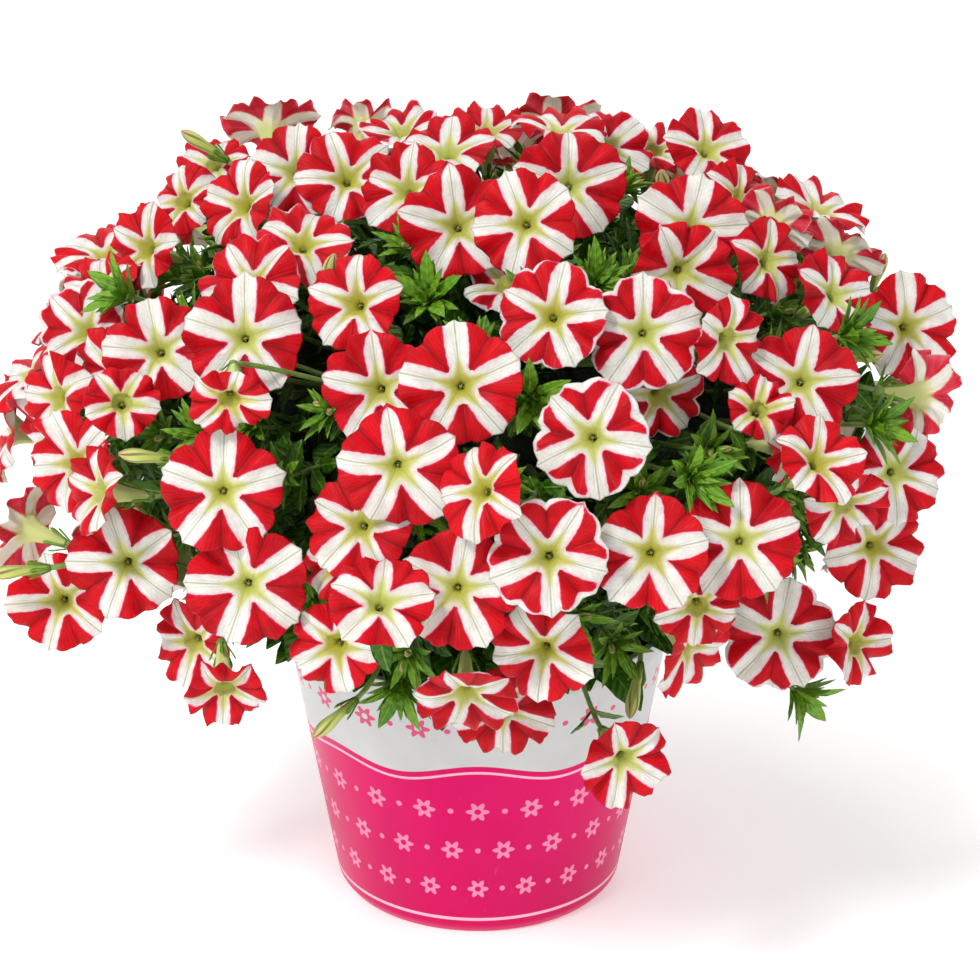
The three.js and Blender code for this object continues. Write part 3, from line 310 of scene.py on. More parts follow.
def line_distance(points, a, b):
    along = b - a
    p = np.atleast_2d(points)
    t = np.clip((p - a) @ along / float(along @ along), 0, 1)
    d = p - (a + t[:, None] * along)
    return np.sqrt((d * d).sum(1))


class Bloom:
    """A bloom: the place of its throat, the way it faces, its tube's end and its stalk's aim."""

    def __init__(self, place, axis, reach, ray):
        self.place = place
        self.axis = unit(axis)
        self.reach = reach
        self.ray = ray
        self.end = place - self.axis * TUBE_LENGTH
        self.foot = on_core(unit(self.end - CORE_CENTRE))
        self.probes = self.make_probes()

    def make_probes(self):
        side = side_of(self.axis)
        other = np.cross(self.axis, side)
        points = []
        for part, count in ((0.5, 8), (1, 24)):
            rise = self.axis * (face_height(part) - 0.5)
            for i in range(count):
                flat = at_turn(side, other, 2 * math.pi * i / count)
                points.append(self.place + flat * (part * self.reach) + rise)
        for below in range(6, TUBE_LENGTH + 4, 8):
            points.append(self.place - self.axis * below)
        part = 0.15
        while part < 1:
            points.append(self.end * (1 - part) + self.foot * part)
            part += 0.17
        return np.array(points)

    def height_and_radius(self, points):
        """How far points lie above the throat, and from the bloom's axis."""
        d = np.atleast_2d(points) - self.place
        h = d @ self.axis
        return h, np.sqrt(np.maximum(0, (d * d).sum(1) - h * h))

    def holds(self, points, room):
        """Which points lie in the limb or the tube, or within `room` of them."""
        h, r = self.height_and_radius(points)
        gap = h - face_height(np.minimum(1, r / self.reach))
        limb = (r < self.reach * 1.04 + room) & (gap < 1.6 + room) & (gap > -2.6 - room)
        taper = TUBE_END_RADIUS - TUBE_TOP_RADIUS
        wide = TUBE_TOP_RADIUS + taper * np.minimum(1, -h / TUBE_LENGTH)
        return limb | ((h < 2) & (h > -TUBE_LENGTH - 3 - room) & (r < wide + room))

    def meets(self, points):
        near = line_distance(points, self.end, self.foot) < STALK_ROOM + BLOOM_ROOM
        return bool((near | self.holds(points, BLOOM_ROOM)).any())

    def stands_clear(self, blooms):
        if core_level(self.end)[0] <= CORE_ROOM:
            return False
        near = (other for other in blooms if norm(self.place - other.place) <= BLOOMS_MEET)
        return not any(other.meets(self.probes) or self.meets(other.probes) for other in near)


# ---- placing the blooms ----

DEPTH_STEPS = (0, -5, 5, -10, 10, -15, 15, -20, 20, -26, 26, -32, 32, -40, 40)


def keep_first_clear(options, blooms):
    """Keeps the first of the blooms offered that stands clear of those kept before."""
    bloom = next((bloom for bloom in options if bloom.stands_clear(blooms)), None)
    if bloom:
        blooms.append(bloom)


def place_near_blooms(blooms):
    for x, y, right, up, ray_angle, reach, away in NEAR_BLOOMS:
        place, ray = seen_on_mound(x, y)
        axis = facing(right, up, away)
        keep_first_clear((Bloom(place + ray * step, axis, reach * shrink, ray_angle)
                          for shrink in (1, 0.88, 0.76) for step in DEPTH_STEPS), blooms)


def place_far_blooms(blooms, count, seed):
    draw = draws(seed)
    for i in range(count):
        on = spiral_point(i, count)
        jitter = drawn_vector(draw)
        reach = FAR_REACH + FAR_REACH_SPREAD * (next(draw) - 0.5)
        ray = 72 * next(draw)
        place = MOUND_CENTRE + on * MOUND_HALF
        outward = unit(on / MOUND_HALF)
        axis = outward + np.array([0, 0, 0.25]) + jitter * 0.7
        if on[2] >= FAR_LOWEST and float(outward @ VIEW_FORWARD) >= FAR_FROM_VIEWER:
            keep_first_clear((Bloom(place + outward * step, axis, reach, ray)
                              for step in (0, -8, 8, -16)), blooms)


# ---- grouping them in sprays ----

def stem_of(point):
    turn = math.atan2(point[1], point[0]) / (2 * math.pi) + 1
    return math.floor(turn * STEMS) % STEMS


def line_gap(a, b, c, d):
    t = np.arange(25)[:, None] / 24
    return float(line_distance(a + (b - a) * t, c, d).min())


class Spray:
    """A short stalk seated in a leafy stem, which forks into the stalks of its blooms."""

    def __init__(self, blooms, shift):
        middle = sum(bloom.end for bloom in blooms) / len(blooms)
        under = unit(middle - CORE_CENTRE)
        across = square_to(under, (-under[1], under[0], 0))
        along = np.cross(under, across)
        direction = unit(under + across * shift[0] + along * shift[1])
        at = on_core(clear_of_seams(direction))
        self.up = unit(at - CORE_CENTRE)
        self.root = at - self.up * ROOT_DEPTH
        self.fork = at + self.up * FORK_HEIGHT
        self.blooms = list(blooms)


def clear_of_seams(direction):
    """Turns a direction a little where it would meet the seam between two wedges."""
    across = max(0.15, math.hypot(direction[0], direction[1]))
    slot = 2 * math.pi / STEMS
    turn = math.atan2(direction[1], direction[0])
    middle = (math.floor(turn / slot) + 0.5) * slot
    room = math.asin(min(0.3, 7 / (across * CORE_HALF_WIDTH)))
    kept = max(middle - slot / 2 + room, min(middle + slot / 2 - room, turn))
    return np.array([across * math.cos(kept), across * math.sin(kept), direction[2]])


def stalk_clear(bloom, fork, blooms, sprays):
    """Whether a bloom's stalk can run straight to a fork past the other blooms and stalks."""
    end = bloom.end
    if float(unit(end - fork) @ bloom.axis) < STALK_BEND:
        return False
    stations = fork + (end - fork) * (np.arange(1, 13)[:, None] / 13)
    if (core_level(stations) < 1 + CORE_LUMPS * 1.3).any():
        return False
    near = (o for o in blooms if o is not bloom and norm(o.place - end) < STALK_MEETS_BLOOM)
    if any(o.holds(stations, STALK_ROOM).any() for o in near):
        return False
    for item in sprays:
        if line_gap(item.root, item.fork, end, fork) < 2 * STALK_ROOM + 1:
            return False
        if any(line_gap(o.end, item.fork, end, fork) < 2 * STALK_ROOM for o in item.blooms):
            return False
    return True


def make_sprays(blooms):
    free = sorted(blooms, key=lambda bloom: bloom.place[2])
    sprays = []
    while free:
        first = free.pop(0)
        near = sorted((norm(bloom.end - first.end), number) for number, bloom in enumerate(free))
        near = [free[number] for far, number in near[:SPRAY_SIZE - 1] if far < SPRAY_SPREAD]
        options = [Spray([first] + near, (0, 0))]
        options += [Spray([first], shift) for shift in FORK_SHIFTS]
        clear = (o for o in options if stalk_clear(first, o.fork, blooms, sprays))
        item = next(clear, options[0])
        item.blooms = [first]
        for bloom in near:
            if stalk_clear(bloom, item.fork, blooms, sprays):
                item.blooms.append(bloom)
                free.remove(bloom)
        sprays.append(item)
    return sprays


# ---- leaves, tufts and buds ----

class Leaf:
    """A blade: an oval from its root to its tip, whose tip droops and whose edges rise."""

    kind = "leaf"

    def __init__(self, root, along, up, length, width, fold, droop):
        self.root = root
        self.along = along
        self.side = unit(np.cross(along, up))
        self.lift = np.cross(self.side, along)
        self.length = length
        self.width = width
        self.fold = fold
        self.droop = droop
        corners = [self.at(0, 0, 0), self.at(0.3, -0.8, fold),
                   self.at(0.68, -0.85, fold - droop * 0.4), self.at(1, 0, -droop),
                   self.at(0.68, 0.85, fold - droop * 0.4), self.at(0.3, 0.8, fold)]
        self.points = np.array(corners + [self.at(0.5, 0, 0), self.at(0.5, 0, -LEAF_THICK)])
        self.probes = self.make_probes(corners)

    def at(self, part, side, height):
        return (self.root + self.along * (part * self.length)
                + self.side * (side * self.width / 2) + self.lift * height)

    def make_probes(self, corners):
        root, low_left, high_left, tip, high_right, low_right = corners
        probes = [tip]
        rows = ((root, root, low_left, low_right), (low_left, low_right, high_left, high_right),
                (high_left, high_right, tip, tip))
        for a, b, c, d in rows:
            for i in range(4):
                left = a * (1 - i / 4) + c * (i / 4)
                right = b * (1 - i / 4) + d * (i / 4)
                probes += [left * (1 - k / 4) + right * (k / 4) for k in range(5)]
        return np.array(probes)

    def holds(self, points):
        d = points - self.root
        part = d @ self.along / self.length
        side = np.abs(d @ self.side) / (self.width / 2)
        h = d @ self.lift - self.fold * np.minimum(1, side) + self.droop * part * part
        return bool(((part > 0.25) & (part < 1.04) & (side < 1.1)
                     & (h < LEAF_ROOM) & (h > -LEAF_ROOM - 1)).any())


def inside_wedge(index, points):
    slot = 2 * math.pi / STEMS
    low, high = slot * index, slot * (index + 1)
    x, y = points[:, 0], points[:, 1]
    return bool(((-math.sin(low) * x + math.cos(low) * y > WEDGE_SHIFT)
                 & (math.sin(high) * x - math.cos(high) * y > WEDGE_SHIFT)).all())


def inside_pot(points):
    reach = np.hypot(points[:, 0], points[:, 1])
    return bool(((points[:, 2] < POT_HEIGHT + 2) & (reach < pot_radius(POT_HEIGHT) + 7)).any())


def near_rod(points, a, b, radius):
    """Whether a point of a leaf comes too near a rod from a to b."""
    return bool((line_distance(points, a, b) < radius + LEAF_ROOM).any())


def meets_sprays(points, sprays):
    centre = points.mean(0)
    for item in sprays:
        if norm(item.fork - centre) > LEAF_MEETS_SPRAY:
            continue
        if near_rod(points, item.root, item.fork, SPRAY_STALK_RADIUS):
            return True
        for bloom in item.blooms:
            stalk_near = near_rod(points, bloom.end, item.fork, STALK_RADIUS)
            if stalk_near or bloom.holds(points, LEAF_ROOM).any():
                return True
    return False


def meets_buds(leaf, buds):
    return any(near_rod(leaf.probes, bud["root"], bud["foot"], STALK_RADIUS)
               or near_rod(leaf.probes, bud["foot"], bud["tip"], BUD_RADIUS) for bud in buds)


def keep_leaf(leaf, index, sprays, leaves):
    if not inside_wedge(index, leaf.points) or inside_pot(leaf.probes):
        return False
    near = (other for other in leaves if norm(other.root - leaf.root) < LEAVES_MEET)
    if any(other.holds(leaf.probes) or leaf.holds(other.probes) for other in near):
        return False
    return not meets_sprays(leaf.probes, sprays)


def line_probes(a, b):
    gap = b - a
    count = math.ceil(norm(gap) / 3)
    return a + gap * (np.arange(count + 1)[:, None] / count)


def line_kept(points, index, sprays, leaves):
    if not inside_wedge(index, points) or inside_pot(points):
        return False
    return not meets_sprays(points, sprays) and not any(leaf.holds(points) for leaf in leaves)


def place_tufts(sprays, leaves):
    tufts = []
    for x, y in TUFTS:
        place, ray = seen_on_mound(x, y)
        for step in DEPTH_STEPS:
            top = place + ray * (TUFT_DEPTH + step)
            out = unit(top - CORE_CENTRE)
            root = on_core(out) - out * LEAF_SUNK
            index = stem_of(root)
            if core_level(top)[0] < CORE_ROOM:
                continue
            if not line_kept(line_probes(root, top), index, sprays, leaves):
                continue
            side = square_to(out, (0.2, 0, 1))
            other = np.cross(out, side)
            blades = []
            for i in range(TUFT_BLADES):
                turn = 2 * math.pi * (i + 0.25) / TUFT_BLADES
                along = unit(out + at_turn(side, other, turn) * TUFT_SPREAD)
                leaf = Leaf(top - out * 2, along, out, TUFT_LENGTH, TUFT_WIDTH, 1, 2)
                if keep_leaf(leaf, index, sprays, leaves):
                    blades.append(leaf)
            if len(blades) < TUFT_BLADES - 1:
                continue
            tufts.append({"index": index, "root": root, "top": top, "out": out, "side": side})
            for leaf in blades:
                leaf.index = index
                leaf.kind = "tuft"
            leaves += blades
            break
    return tufts


def place_buds(sprays, leaves):
    buds = []
    for x, y, right, up in BUDS:
        place, ray = seen_on_mound(x, y)
        axis = facing(right, up)
        for step in DEPTH_STEPS:
            middle = place + ray * step
            foot = middle - axis * (BUD_LENGTH / 2)
            tip = middle + axis * (BUD_LENGTH / 2)
            out = unit(foot - CORE_CENTRE)
            root = on_core(out) - out * LEAF_SUNK
            index = stem_of(root)
            wide = [middle + np.cross(axis, ray) * (k * BUD_RADIUS) for k in (-1, 1)]
            points = np.vstack([line_probes(on_core(out), foot), line_probes(foot, tip), wide])
            if core_level(foot)[0] > CORE_ROOM and line_kept(points, index, sprays, leaves):
                buds.append({"index": index, "root": root, "foot": foot, "tip": tip, "axis": axis})
                break
    return buds


def place_skirt(sprays, leaves, buds):
    draw = draws(19)
    for i in range(SKIRT_LEAVES):
        length = SKIRT_LENGTH * (0.88 + 0.3 * next(draw))
        place = 2 * math.pi * (i + 0.5) / SKIRT_LEAVES
        for lean, slope in ((0.3, 0), (-0.3, 0), (0.15, 0.25), (-0.15, -0.2)):
            turn = place + lean * (next(draw) - 0.5)
            root = np.array([math.cos(place) * SKIRT_ROOT_RADIUS, math.sin(place) * SKIRT_ROOT_RADIUS,
                             SKIRT_ROOT_HEIGHT + 6 * (next(draw) - 0.5)])
            along = unit(np.array([math.cos(turn), math.sin(turn), SKIRT_SLOPE + slope]))
            leaf = Leaf(root, along, (0, 0, 1), length, SKIRT_ASPECT * length, LEAF_FOLD, LEAF_DROOP)
            leaf.index = stem_of(root)
            if not meets_buds(leaf, buds) and keep_leaf(leaf, leaf.index, sprays, leaves):
                leaves.append(leaf)
                break


def place_leaves(sprays, leaves, buds, count, seed, usual):
    draw = draws(seed)
    for i in range(count):
        direction = spiral_point(i, count)
        drawn = drawn_vector(draw)
        length = usual * (0.85 + 0.35 * next(draw))
        if direction[2] < LEAF_LOWEST:
            continue
        at = on_core(direction)
        out = unit(direction)
        rise = -0.12 if direction[2] < LEAF_LOW else 0.15
        for lean in (0.9, -0.9, 1.5, -1.5):
            along = unit(out + np.array([0, 0, rise]) + drawn * lean)
            up = (0, 0, 1) if abs(along[2]) < 0.85 else out
            leaf = Leaf(at - out * LEAF_SUNK, along, up, length + LEAF_SUNK, LEAF_ASPECT * length,
                        LEAF_FOLD, LEAF_DROOP)
            leaf.index = stem_of(at)
            if not meets_buds(leaf, buds) and keep_leaf(leaf, leaf.index, sprays, leaves):
                leaves.append(leaf)
                break


blooms = []
place_near_blooms(blooms)
place_far_blooms(blooms, FAR_SPIRAL_POINTS, 41)
place_far_blooms(blooms, FAR_FILL_POINTS, 43)
sprays = make_sprays(blooms)
leaves = []
tufts = place_tufts(sprays, leaves)
buds = place_buds(sprays, leaves)
place_skirt(sprays, leaves, buds)
place_leaves(sprays, leaves, buds, LEAF_SPIRAL_POINTS, 7, LEAF_LENGTH)
place_leaves(sprays, leaves, buds, LEAF_FILL_POINTS, 11, LEAF_FILL_LENGTH)


# ---- looks: gathering meshes ----

NOTE_LAYERS = ("noteA", "noteB")


class Piece:
    """Points, faces and their notes, gathered patch by patch into one mesh object."""

    def __init__(self, name):
        self.name = name
        self.count = 0
        self.points = []
        self.notes = []
        self.faces = []
        self.looks = []
        self.maps = []

    def add(self, points, notes, *patches):
        """`notes` are six numbers a point. Each patch is its faces, of four corners or with the
        last one repeated for a triangle, its look, the map coordinates of each corner, from 0 to
        1 in its patch, and the side of the patch on the map."""
        for faces, look, flat, cell in patches:
            self.faces.append(faces + self.count)
            self.looks.append(np.full(len(faces), look))
            self.maps.append((flat, cell))
        self.points.append(points)
        self.notes.append(notes)
        self.count += len(points)

    def lay_maps(self):
        """Lays the patches on the map in rows, the largest first."""
        order = sorted(range(len(self.maps)), key=lambda i: -self.maps[i][1])
        area = sum(cell * cell for flat, cell in self.maps)
        wide = max(math.sqrt(area) * 1.05, self.maps[order[0]][1])
        x = y = row = 0.0
        corner = {}
        for i in order:
            cell = self.maps[i][1]
            if x + cell > wide * 1.0001:
                x, y, row = 0.0, y + row, 0.0
            corner[i] = (x, y)
            x += cell
            row = max(row, cell)
        side = max(wide, y + row)
        laid = []
        for i, (flat, cell) in enumerate(self.maps):
            margin = 0.03 * cell
            laid.append((np.array(corner[i]) + margin + flat * (cell - 2 * margin)) / side)
        return np.concatenate(laid)

    def build(self, looks, slot, *nodes):
        points = np.concatenate(self.points) * MM
        notes = np.concatenate(self.notes)
        faces = np.concatenate(self.faces)
        flat = self.lay_maps().reshape(-1, 4, 2)
        three = faces[:, 3] == faces[:, 2]
        keep = np.ones(faces.shape, bool)
        keep[three, 3] = False
        sizes = keep.sum(1)
        mesh = bpy.data.meshes.new(self.name)
        mesh.vertices.add(len(points))
        mesh.vertices.foreach_set("co", points.ravel())
        mesh.loops.add(int(sizes.sum()))
        mesh.loops.foreach_set("vertex_index", faces[keep].astype(np.int32))
        mesh.polygons.add(len(faces))
        starts = np.concatenate([[0], np.cumsum(sizes)[:-1]]).astype(np.int32)
        mesh.polygons.foreach_set("loop_start", starts)
        mesh.polygons.foreach_set("material_index", np.concatenate(self.looks).astype(np.int32))
        mesh.polygons.foreach_set("use_smooth", np.ones(len(faces), bool))
        layer = mesh.uv_layers.new(name="OFBake")
        layer.uv.foreach_set("vector", flat[keep].ravel())
        for k, name in enumerate(NOTE_LAYERS):
            layer = mesh.attributes.new(name, "FLOAT_VECTOR", "POINT")
            part = np.ascontiguousarray(notes[:, 3 * k:3 * k + 3], np.float32)
            layer.data.foreach_set("vector", part.ravel())
        for look in looks:
            mesh.materials.append(look)
        mesh.update(calc_edges=True)
        thing = bpy.data.objects.new(self.name, mesh)
        bpy.context.scene.collection.objects.link(thing)
        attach(thing, "root")
        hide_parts(*nodes)
        return thing


def grid_faces(rows, cols, closed):
    """Corner numbers of the quads between rows of points, each row open or closed into a ring."""
    r = np.arange(rows - 1)[:, None]
    c = np.arange(cols if closed else cols - 1)[None, :]
    n = (c + 1) % cols
    quads = np.stack([r * cols + c, r * cols + n, (r + 1) * cols + n, (r + 1) * cols + c], -1)
    return quads.reshape(-1, 4)


def grid_map(rows, cols, closed):
    """Map coordinates of the same corners, on a plain rectangle."""
    wide = cols if closed else cols - 1
    r = np.arange(rows - 1)[:, None] + np.zeros((1, wide))
    c = np.arange(wide)[None, :] + np.zeros((rows - 1, 1))
    corners = [np.stack([(c + dc) / wide, (r + dr) / (rows - 1)], -1)
               for dr, dc in ((0, 0), (0, 1), (1, 1), (1, 0))]
    return np.stack(corners, -2).reshape(-1, 2)


def end_caps(rows, sides):
    """Triangles that close the first and last ring of a grid, to the two points after it."""
    i = np.arange(sides)
    j = (i + 1) % sides
    low, high, last = rows * sides, rows * sides + 1, (rows - 1) * sides
    return (np.stack([0 * i + low, j, i, i], 1),
            np.stack([0 * i + high, last + i, last + j, last + j], 1))


def tube(piece, stations, radii, sides, look, tint=0.0, cell=0.3, chance=0.5):
    """A closed rod through `stations`, which ends in a point at each end. Notes: way along (mm),
    part along, chance; part round, radius, tint."""
    stations = np.asarray(stations, float)
    count = len(stations)
    rings = []
    guide = None
    for k in range(count):
        axis = unit(stations[min(count - 1, k + 1)] - stations[max(0, k - 1)])
        guide = side_of(axis) if guide is None else square_to(axis, guide)
        other = np.cross(axis, guide)
        turn = 2 * math.pi * np.arange(sides)[:, None] / sides
        rings.append(stations[k] + radii[k] * (guide * np.cos(turn) + other * np.sin(turn)))
    points = np.concatenate(rings + [stations[:1], stations[-1:]])
    low, high = count * sides, count * sides + 1
    i = np.arange(sides)
    caps = end_caps(count, sides)
    faces = np.concatenate([grid_faces(count, sides, True), *caps])
    ends = np.concatenate([np.full((sides * 4, 2), 0.002), np.full((sides * 4, 2), 0.998)])
    flat = np.concatenate([grid_map(count, sides, True), ends])
    steps = np.sqrt((np.diff(stations, axis=0) ** 2).sum(1))
    way = np.concatenate([[0], np.cumsum(steps)])
    note = np.zeros((len(points), 6))
    note[:low, 0] = np.repeat(way, sides)
    note[:low, 1] = np.repeat(way / way[-1], sides)
    note[:, 2] = chance
    note[:low, 3] = np.tile(i / sides, count)
    note[:low, 4] = np.repeat(radii, sides)
    note[:, 5] = tint
    note[high, :2] = way[-1], 1
    piece.add(points, note, (faces, look, flat, cell))


def curve(a, b, c, d, count):
    """Points on a smooth curve from a to d, drawn towards b and c."""
    t = np.linspace(0, 1, count)[:, None]
    return (1 - t) ** 3 * a + 3 * t * (1 - t) ** 2 * b + 3 * t * t * (1 - t) * c + t ** 3 * d


def bump(x, width):
    return np.exp(-(x / width) ** 2)


# ---- looks: blooms ----

FACE, BACK, STIGMA, ANTHER = range(4)
LOBE_STEPS = 16
AROUND = LOBES * LOBE_STEPS
SECTOR = math.pi / LOBES
# Radius and height of the rings down the throat and down the outside of the tube: mm
THROAT_ROWS = ((0.3, -14), (0.8, -11), (1.1, -8), (1.4, -5.6), (1.8, -3.8), (2.5, -2.2),
               (3.7, -0.7), (5.6, 0.75))
# Parts of the reach where the rings of the face and of its back lie
FRONT_PARTS = (0.26, 0.33, 0.41, 0.5, 0.59, 0.68, 0.76, 0.83, 0.89, 0.94, 0.975, 1.0)
BACK_PARTS = (0.985, 0.94, 0.86, 0.74, 0.6, 0.46, 0.34)
TUBE_ROWS = ((7.0, -1.4), (5.9, -3.6), (4.9, -7), (4.1, -11), (3.5, -15.5), (3.0, -20),
             (2.6, -24), (2.2, -27.3), (0.3, -28))
LIMB_THICK = 0.45
WIDE_RAYED = 0.32


def bloom_frame(axis):
    up = VIEW_UP if abs(float(axis @ VIEW_UP)) < 0.95 else -VIEW_FORWARD
    top = square_to(axis, up)
    return top, np.cross(top, axis)


def waves(clock, counts, starts):
    """The mean of waves that go `counts` times round a bloom, each with its own start."""
    return sum(np.sin(n * clock + 6.3 * start) for n, start in zip(counts, starts)) / len(counts)


def bloom_rings(reach, chance, clock, lobe, u):
    """Radius and height of every point of a bloom, ring by ring from the bottom of its throat over
    the rim to the end of its tube, and the radius of its rim."""
    a = np.abs(u)
    rounding = np.cos(math.pi * u / 2)
    slow = waves(clock, (2, 3), chance[5:7])
    ripple = waves(clock, (5, 8, 11), chance[7:10])
    frill = waves(clock, (16, 23, 31), chance[10:13])
    lean = 4 * (np.array(chance[:5])[lobe] - 0.5) ** 3 * (0.5 + 1.2 * chance[31])
    seam = np.clip((a - 0.1) / 0.9, 0, 1)
    tip = 0.012 + 0.045 * np.array(chance[16:21])[lobe]
    notch = 0.05 + 0.09 * np.array(chance[17:22])[lobe]
    curl = np.clip(np.array(chance[23:28])[lobe] - 0.35, 0, 1) * rounding ** 0.5
    rim = reach * (0.985 + tip * bump(u, 0.12) - 0.035 * np.clip(a * 5, 0, 1) - 0.09 * curl
                   + 0.022 * bump(a - 0.55, 0.25) - notch * a ** 5
                   + 0.018 * slow + 0.014 * (ripple + frill))
    cup = 0.5 + 1.3 * chance[13]
    around = 1 + 0.05 * np.cos(LOBES * (clock - clock[0]))
    rows = [(r * around, np.full(AROUND, h)) for r, h in THROAT_ROWS]
    drops = [0] * len(FRONT_PARTS) + [0.2] + [LIMB_THICK] * (len(BACK_PARTS) - 1)
    for part, drop in zip(FRONT_PARTS + BACK_PARTS, drops):
        swell = 2.9 * part ** 1.3 * np.sin(math.pi * seam) ** 2
        crease = -2.3 * part ** 1.5 * bump(1 - a, 0.13) - 0.7 * part * bump(u, 0.12)
        wave = part ** 2.4 * (12 * lean * rounding ** 1.5 + 2.4 * ripple + 1.8 * slow)
        wave = wave - 32 * curl * max(0.0, part - 0.6) ** 2
        pleats = 0.5 * part * np.sin(13 * clock + 5 * part + 6.3 * chance[14])
        height = face_height(part) * (1 + (cup - 1) * part) + swell + crease + wave + pleats
        rows.append((part * rim, height + part ** 5 * 1.25 * frill - drop))
    rows += [(r * around, np.full(AROUND, h)) for r, h in TUBE_ROWS]
    return np.array([row[0] for row in rows]), np.array([row[1] for row in rows]), rim


def ray_depth(bloom, chance, lobe, a, r, rim):
    """How deep each point lies in a white ray, or in the pale edge that some blooms have: mm."""
    part = r / bloom.reach
    middle = np.radians(bloom.ray + 360 / LOBES * lobe)
    low = np.clip(0.5 - 1.1 * np.cos(middle), 0, 1)
    wide = np.clip(low + (chance[12] < WIDE_RAYED) + 0.5 * np.array(chance[1:6])[lobe] - 0.1, 0, 1)
    lens = 0.175 * np.sqrt(np.clip(1 - ((part - 0.48) / 0.48) ** 2, 0, 1)) - 0.01
    open_ray = 0.06 + 0.36 * part - 0.24 * part * part
    lobe_width = 0.85 + 0.3 * np.array(chance[26:31])[lobe]
    width = (lens * (1 - wide) + open_ray * wide) * (0.8 + 0.3 * chance[15]) * lobe_width
    width = np.where(part < 0.24, 0.3, np.maximum(width, 0.16 - 0.9 * (part - 0.24)))
    pale_edge = 0.2 * np.clip((chance[14] - 0.7) / 0.3, 0, 1) * (0.5 + 0.7 * bump(1 - a, 0.35))
    in_edge = bloom.reach * (pale_edge - 0.05) - (rim - r)
    return np.maximum(width * bloom.reach - r * np.sin(a * SECTOR), in_edge)


def bloom_mesh(piece, bloom, draw):
    """Face, rim, back and tube of one bloom. Notes: depth inside the white ray (mm), part of the
    reach, chance; distance from the mid-vein (mm), distance from the middle (mm), part of the way
    from the mid-vein to the seam between two lobes."""
    chance = take(draw, 32)
    k = np.arange(AROUND)
    lobe = np.floor(k / LOBE_STEPS + 0.5).astype(int)
    u = (k - LOBE_STEPS * lobe) / (LOBE_STEPS / 2)
    a = np.abs(u)
    lobe = lobe % LOBES
    clock = np.radians(bloom.ray + 360 * k / AROUND)
    r, h, rim = bloom_rings(bloom.reach, chance, clock, lobe, u)
    top, right = bloom_frame(bloom.axis)
    out = top * np.cos(clock)[:, None] + right * np.sin(clock)[:, None]
    points = bloom.place + r[..., None] * out[None] + h[..., None] * bloom.axis
    one = np.ones_like(r)
    notes = np.stack([ray_depth(bloom, chance, lobe, a, r, rim), r / bloom.reach, chance[22] * one,
                      r * np.sin(a * SECTOR), r, a * one], -1).reshape(-1, 6)
    tips = [bloom.place + bloom.axis * h[0, 0], bloom.place + bloom.axis * h[-1, 0]]
    notes = np.concatenate([notes, notes[:1], notes[-1:]])
    points = np.concatenate([points.reshape(-1, 3), tips])
    rows = len(r)
    faces = grid_faces(rows, AROUND, True)
    throat, tail = end_caps(rows, AROUND)
    step = np.sqrt(np.diff(r.mean(1)) ** 2 + np.diff(h.mean(1)) ** 2)
    edge = len(THROAT_ROWS) + len(FRONT_PARTS) - 1
    way = np.concatenate([[0], np.cumsum(step)])
    dial = np.where(np.arange(rows) <= edge, way / way[edge],
                    (way[-1] - way) / (way[-1] - way[edge]))
    spokes = np.stack([np.cos(clock), np.sin(clock)], -1)
    flat = 0.5 + 0.5 * dial[:, None, None] * spokes[None]
    flat = np.concatenate([flat.reshape(-1, 2), [(0.5, 0.5), (0.5, 0.5)]])
    split = edge * AROUND
    size = bloom.reach / 32
    front = np.concatenate([throat, faces[:split]])
    behind = np.concatenate([faces[split:], tail])
    piece.add(points, notes, (front, FACE, flat[front].reshape(-1, 2), size),
              (behind, BACK, flat[behind].reshape(-1, 2), size * 0.75))
    throat_parts(piece, bloom, top, right, chance[24:])


def throat_parts(piece, bloom, top, right, chance):
    """The stigma's green knob and the anthers round it, in the throat."""
    axis = bloom.axis
    at = [bloom.place + axis * h for h in (-12, -5, -2.8, -2.1, -1.6)]
    tube(piece, at, [0.2, 0.25, 0.3, 0.7, 0.25], 8, STIGMA, cell=0.1)
    for i in range(5):
        turn = 2 * math.pi * (i + 0.7 * chance[i]) / 5
        out = at_turn(top, right, turn)
        head = bloom.place + out * (0.8 + 0.35 * chance[i + 1]) - axis * (3.3 + chance[i + 2])
        foot = bloom.place - axis * 10 + out * 0.5
        tube(piece, [foot, head - axis * 0.8, head, head + axis * 0.5, head + axis],
             [0.15, 0.15, 0.4, 0.42, 0.15], 6, ANTHER, cell=0.08)


# ---- looks: leaves, stalks and hairs ----

LEAF, STALK, BUD, CORE = range(4)
# Outlines of blades: part of the way from root to tip, part of the full width
BROAD_SHAPE = ((0, 0.07), (0.07, 0.08), (0.14, 0.3), (0.24, 0.66), (0.36, 0.92), (0.5, 1.0),
               (0.64, 0.93), (0.77, 0.72), (0.88, 0.44), (0.96, 0.17), (1.0, 0.03))
SMALL_SHAPE = ((0, 0.08), (0.12, 0.12), (0.26, 0.68), (0.45, 1.0), (0.64, 0.92), (0.82, 0.6),
               (0.94, 0.24), (1.0, 0.03))
BROAD_THICK = 0.45
SMALL_THICK = 0.35
SEPALS = 5
SEPAL_SHAPE = ((0, 0.55), (0.3, 0.5), (0.6, 0.8), (0.8, 1.0), (0.93, 0.7), (1.0, 0.1))


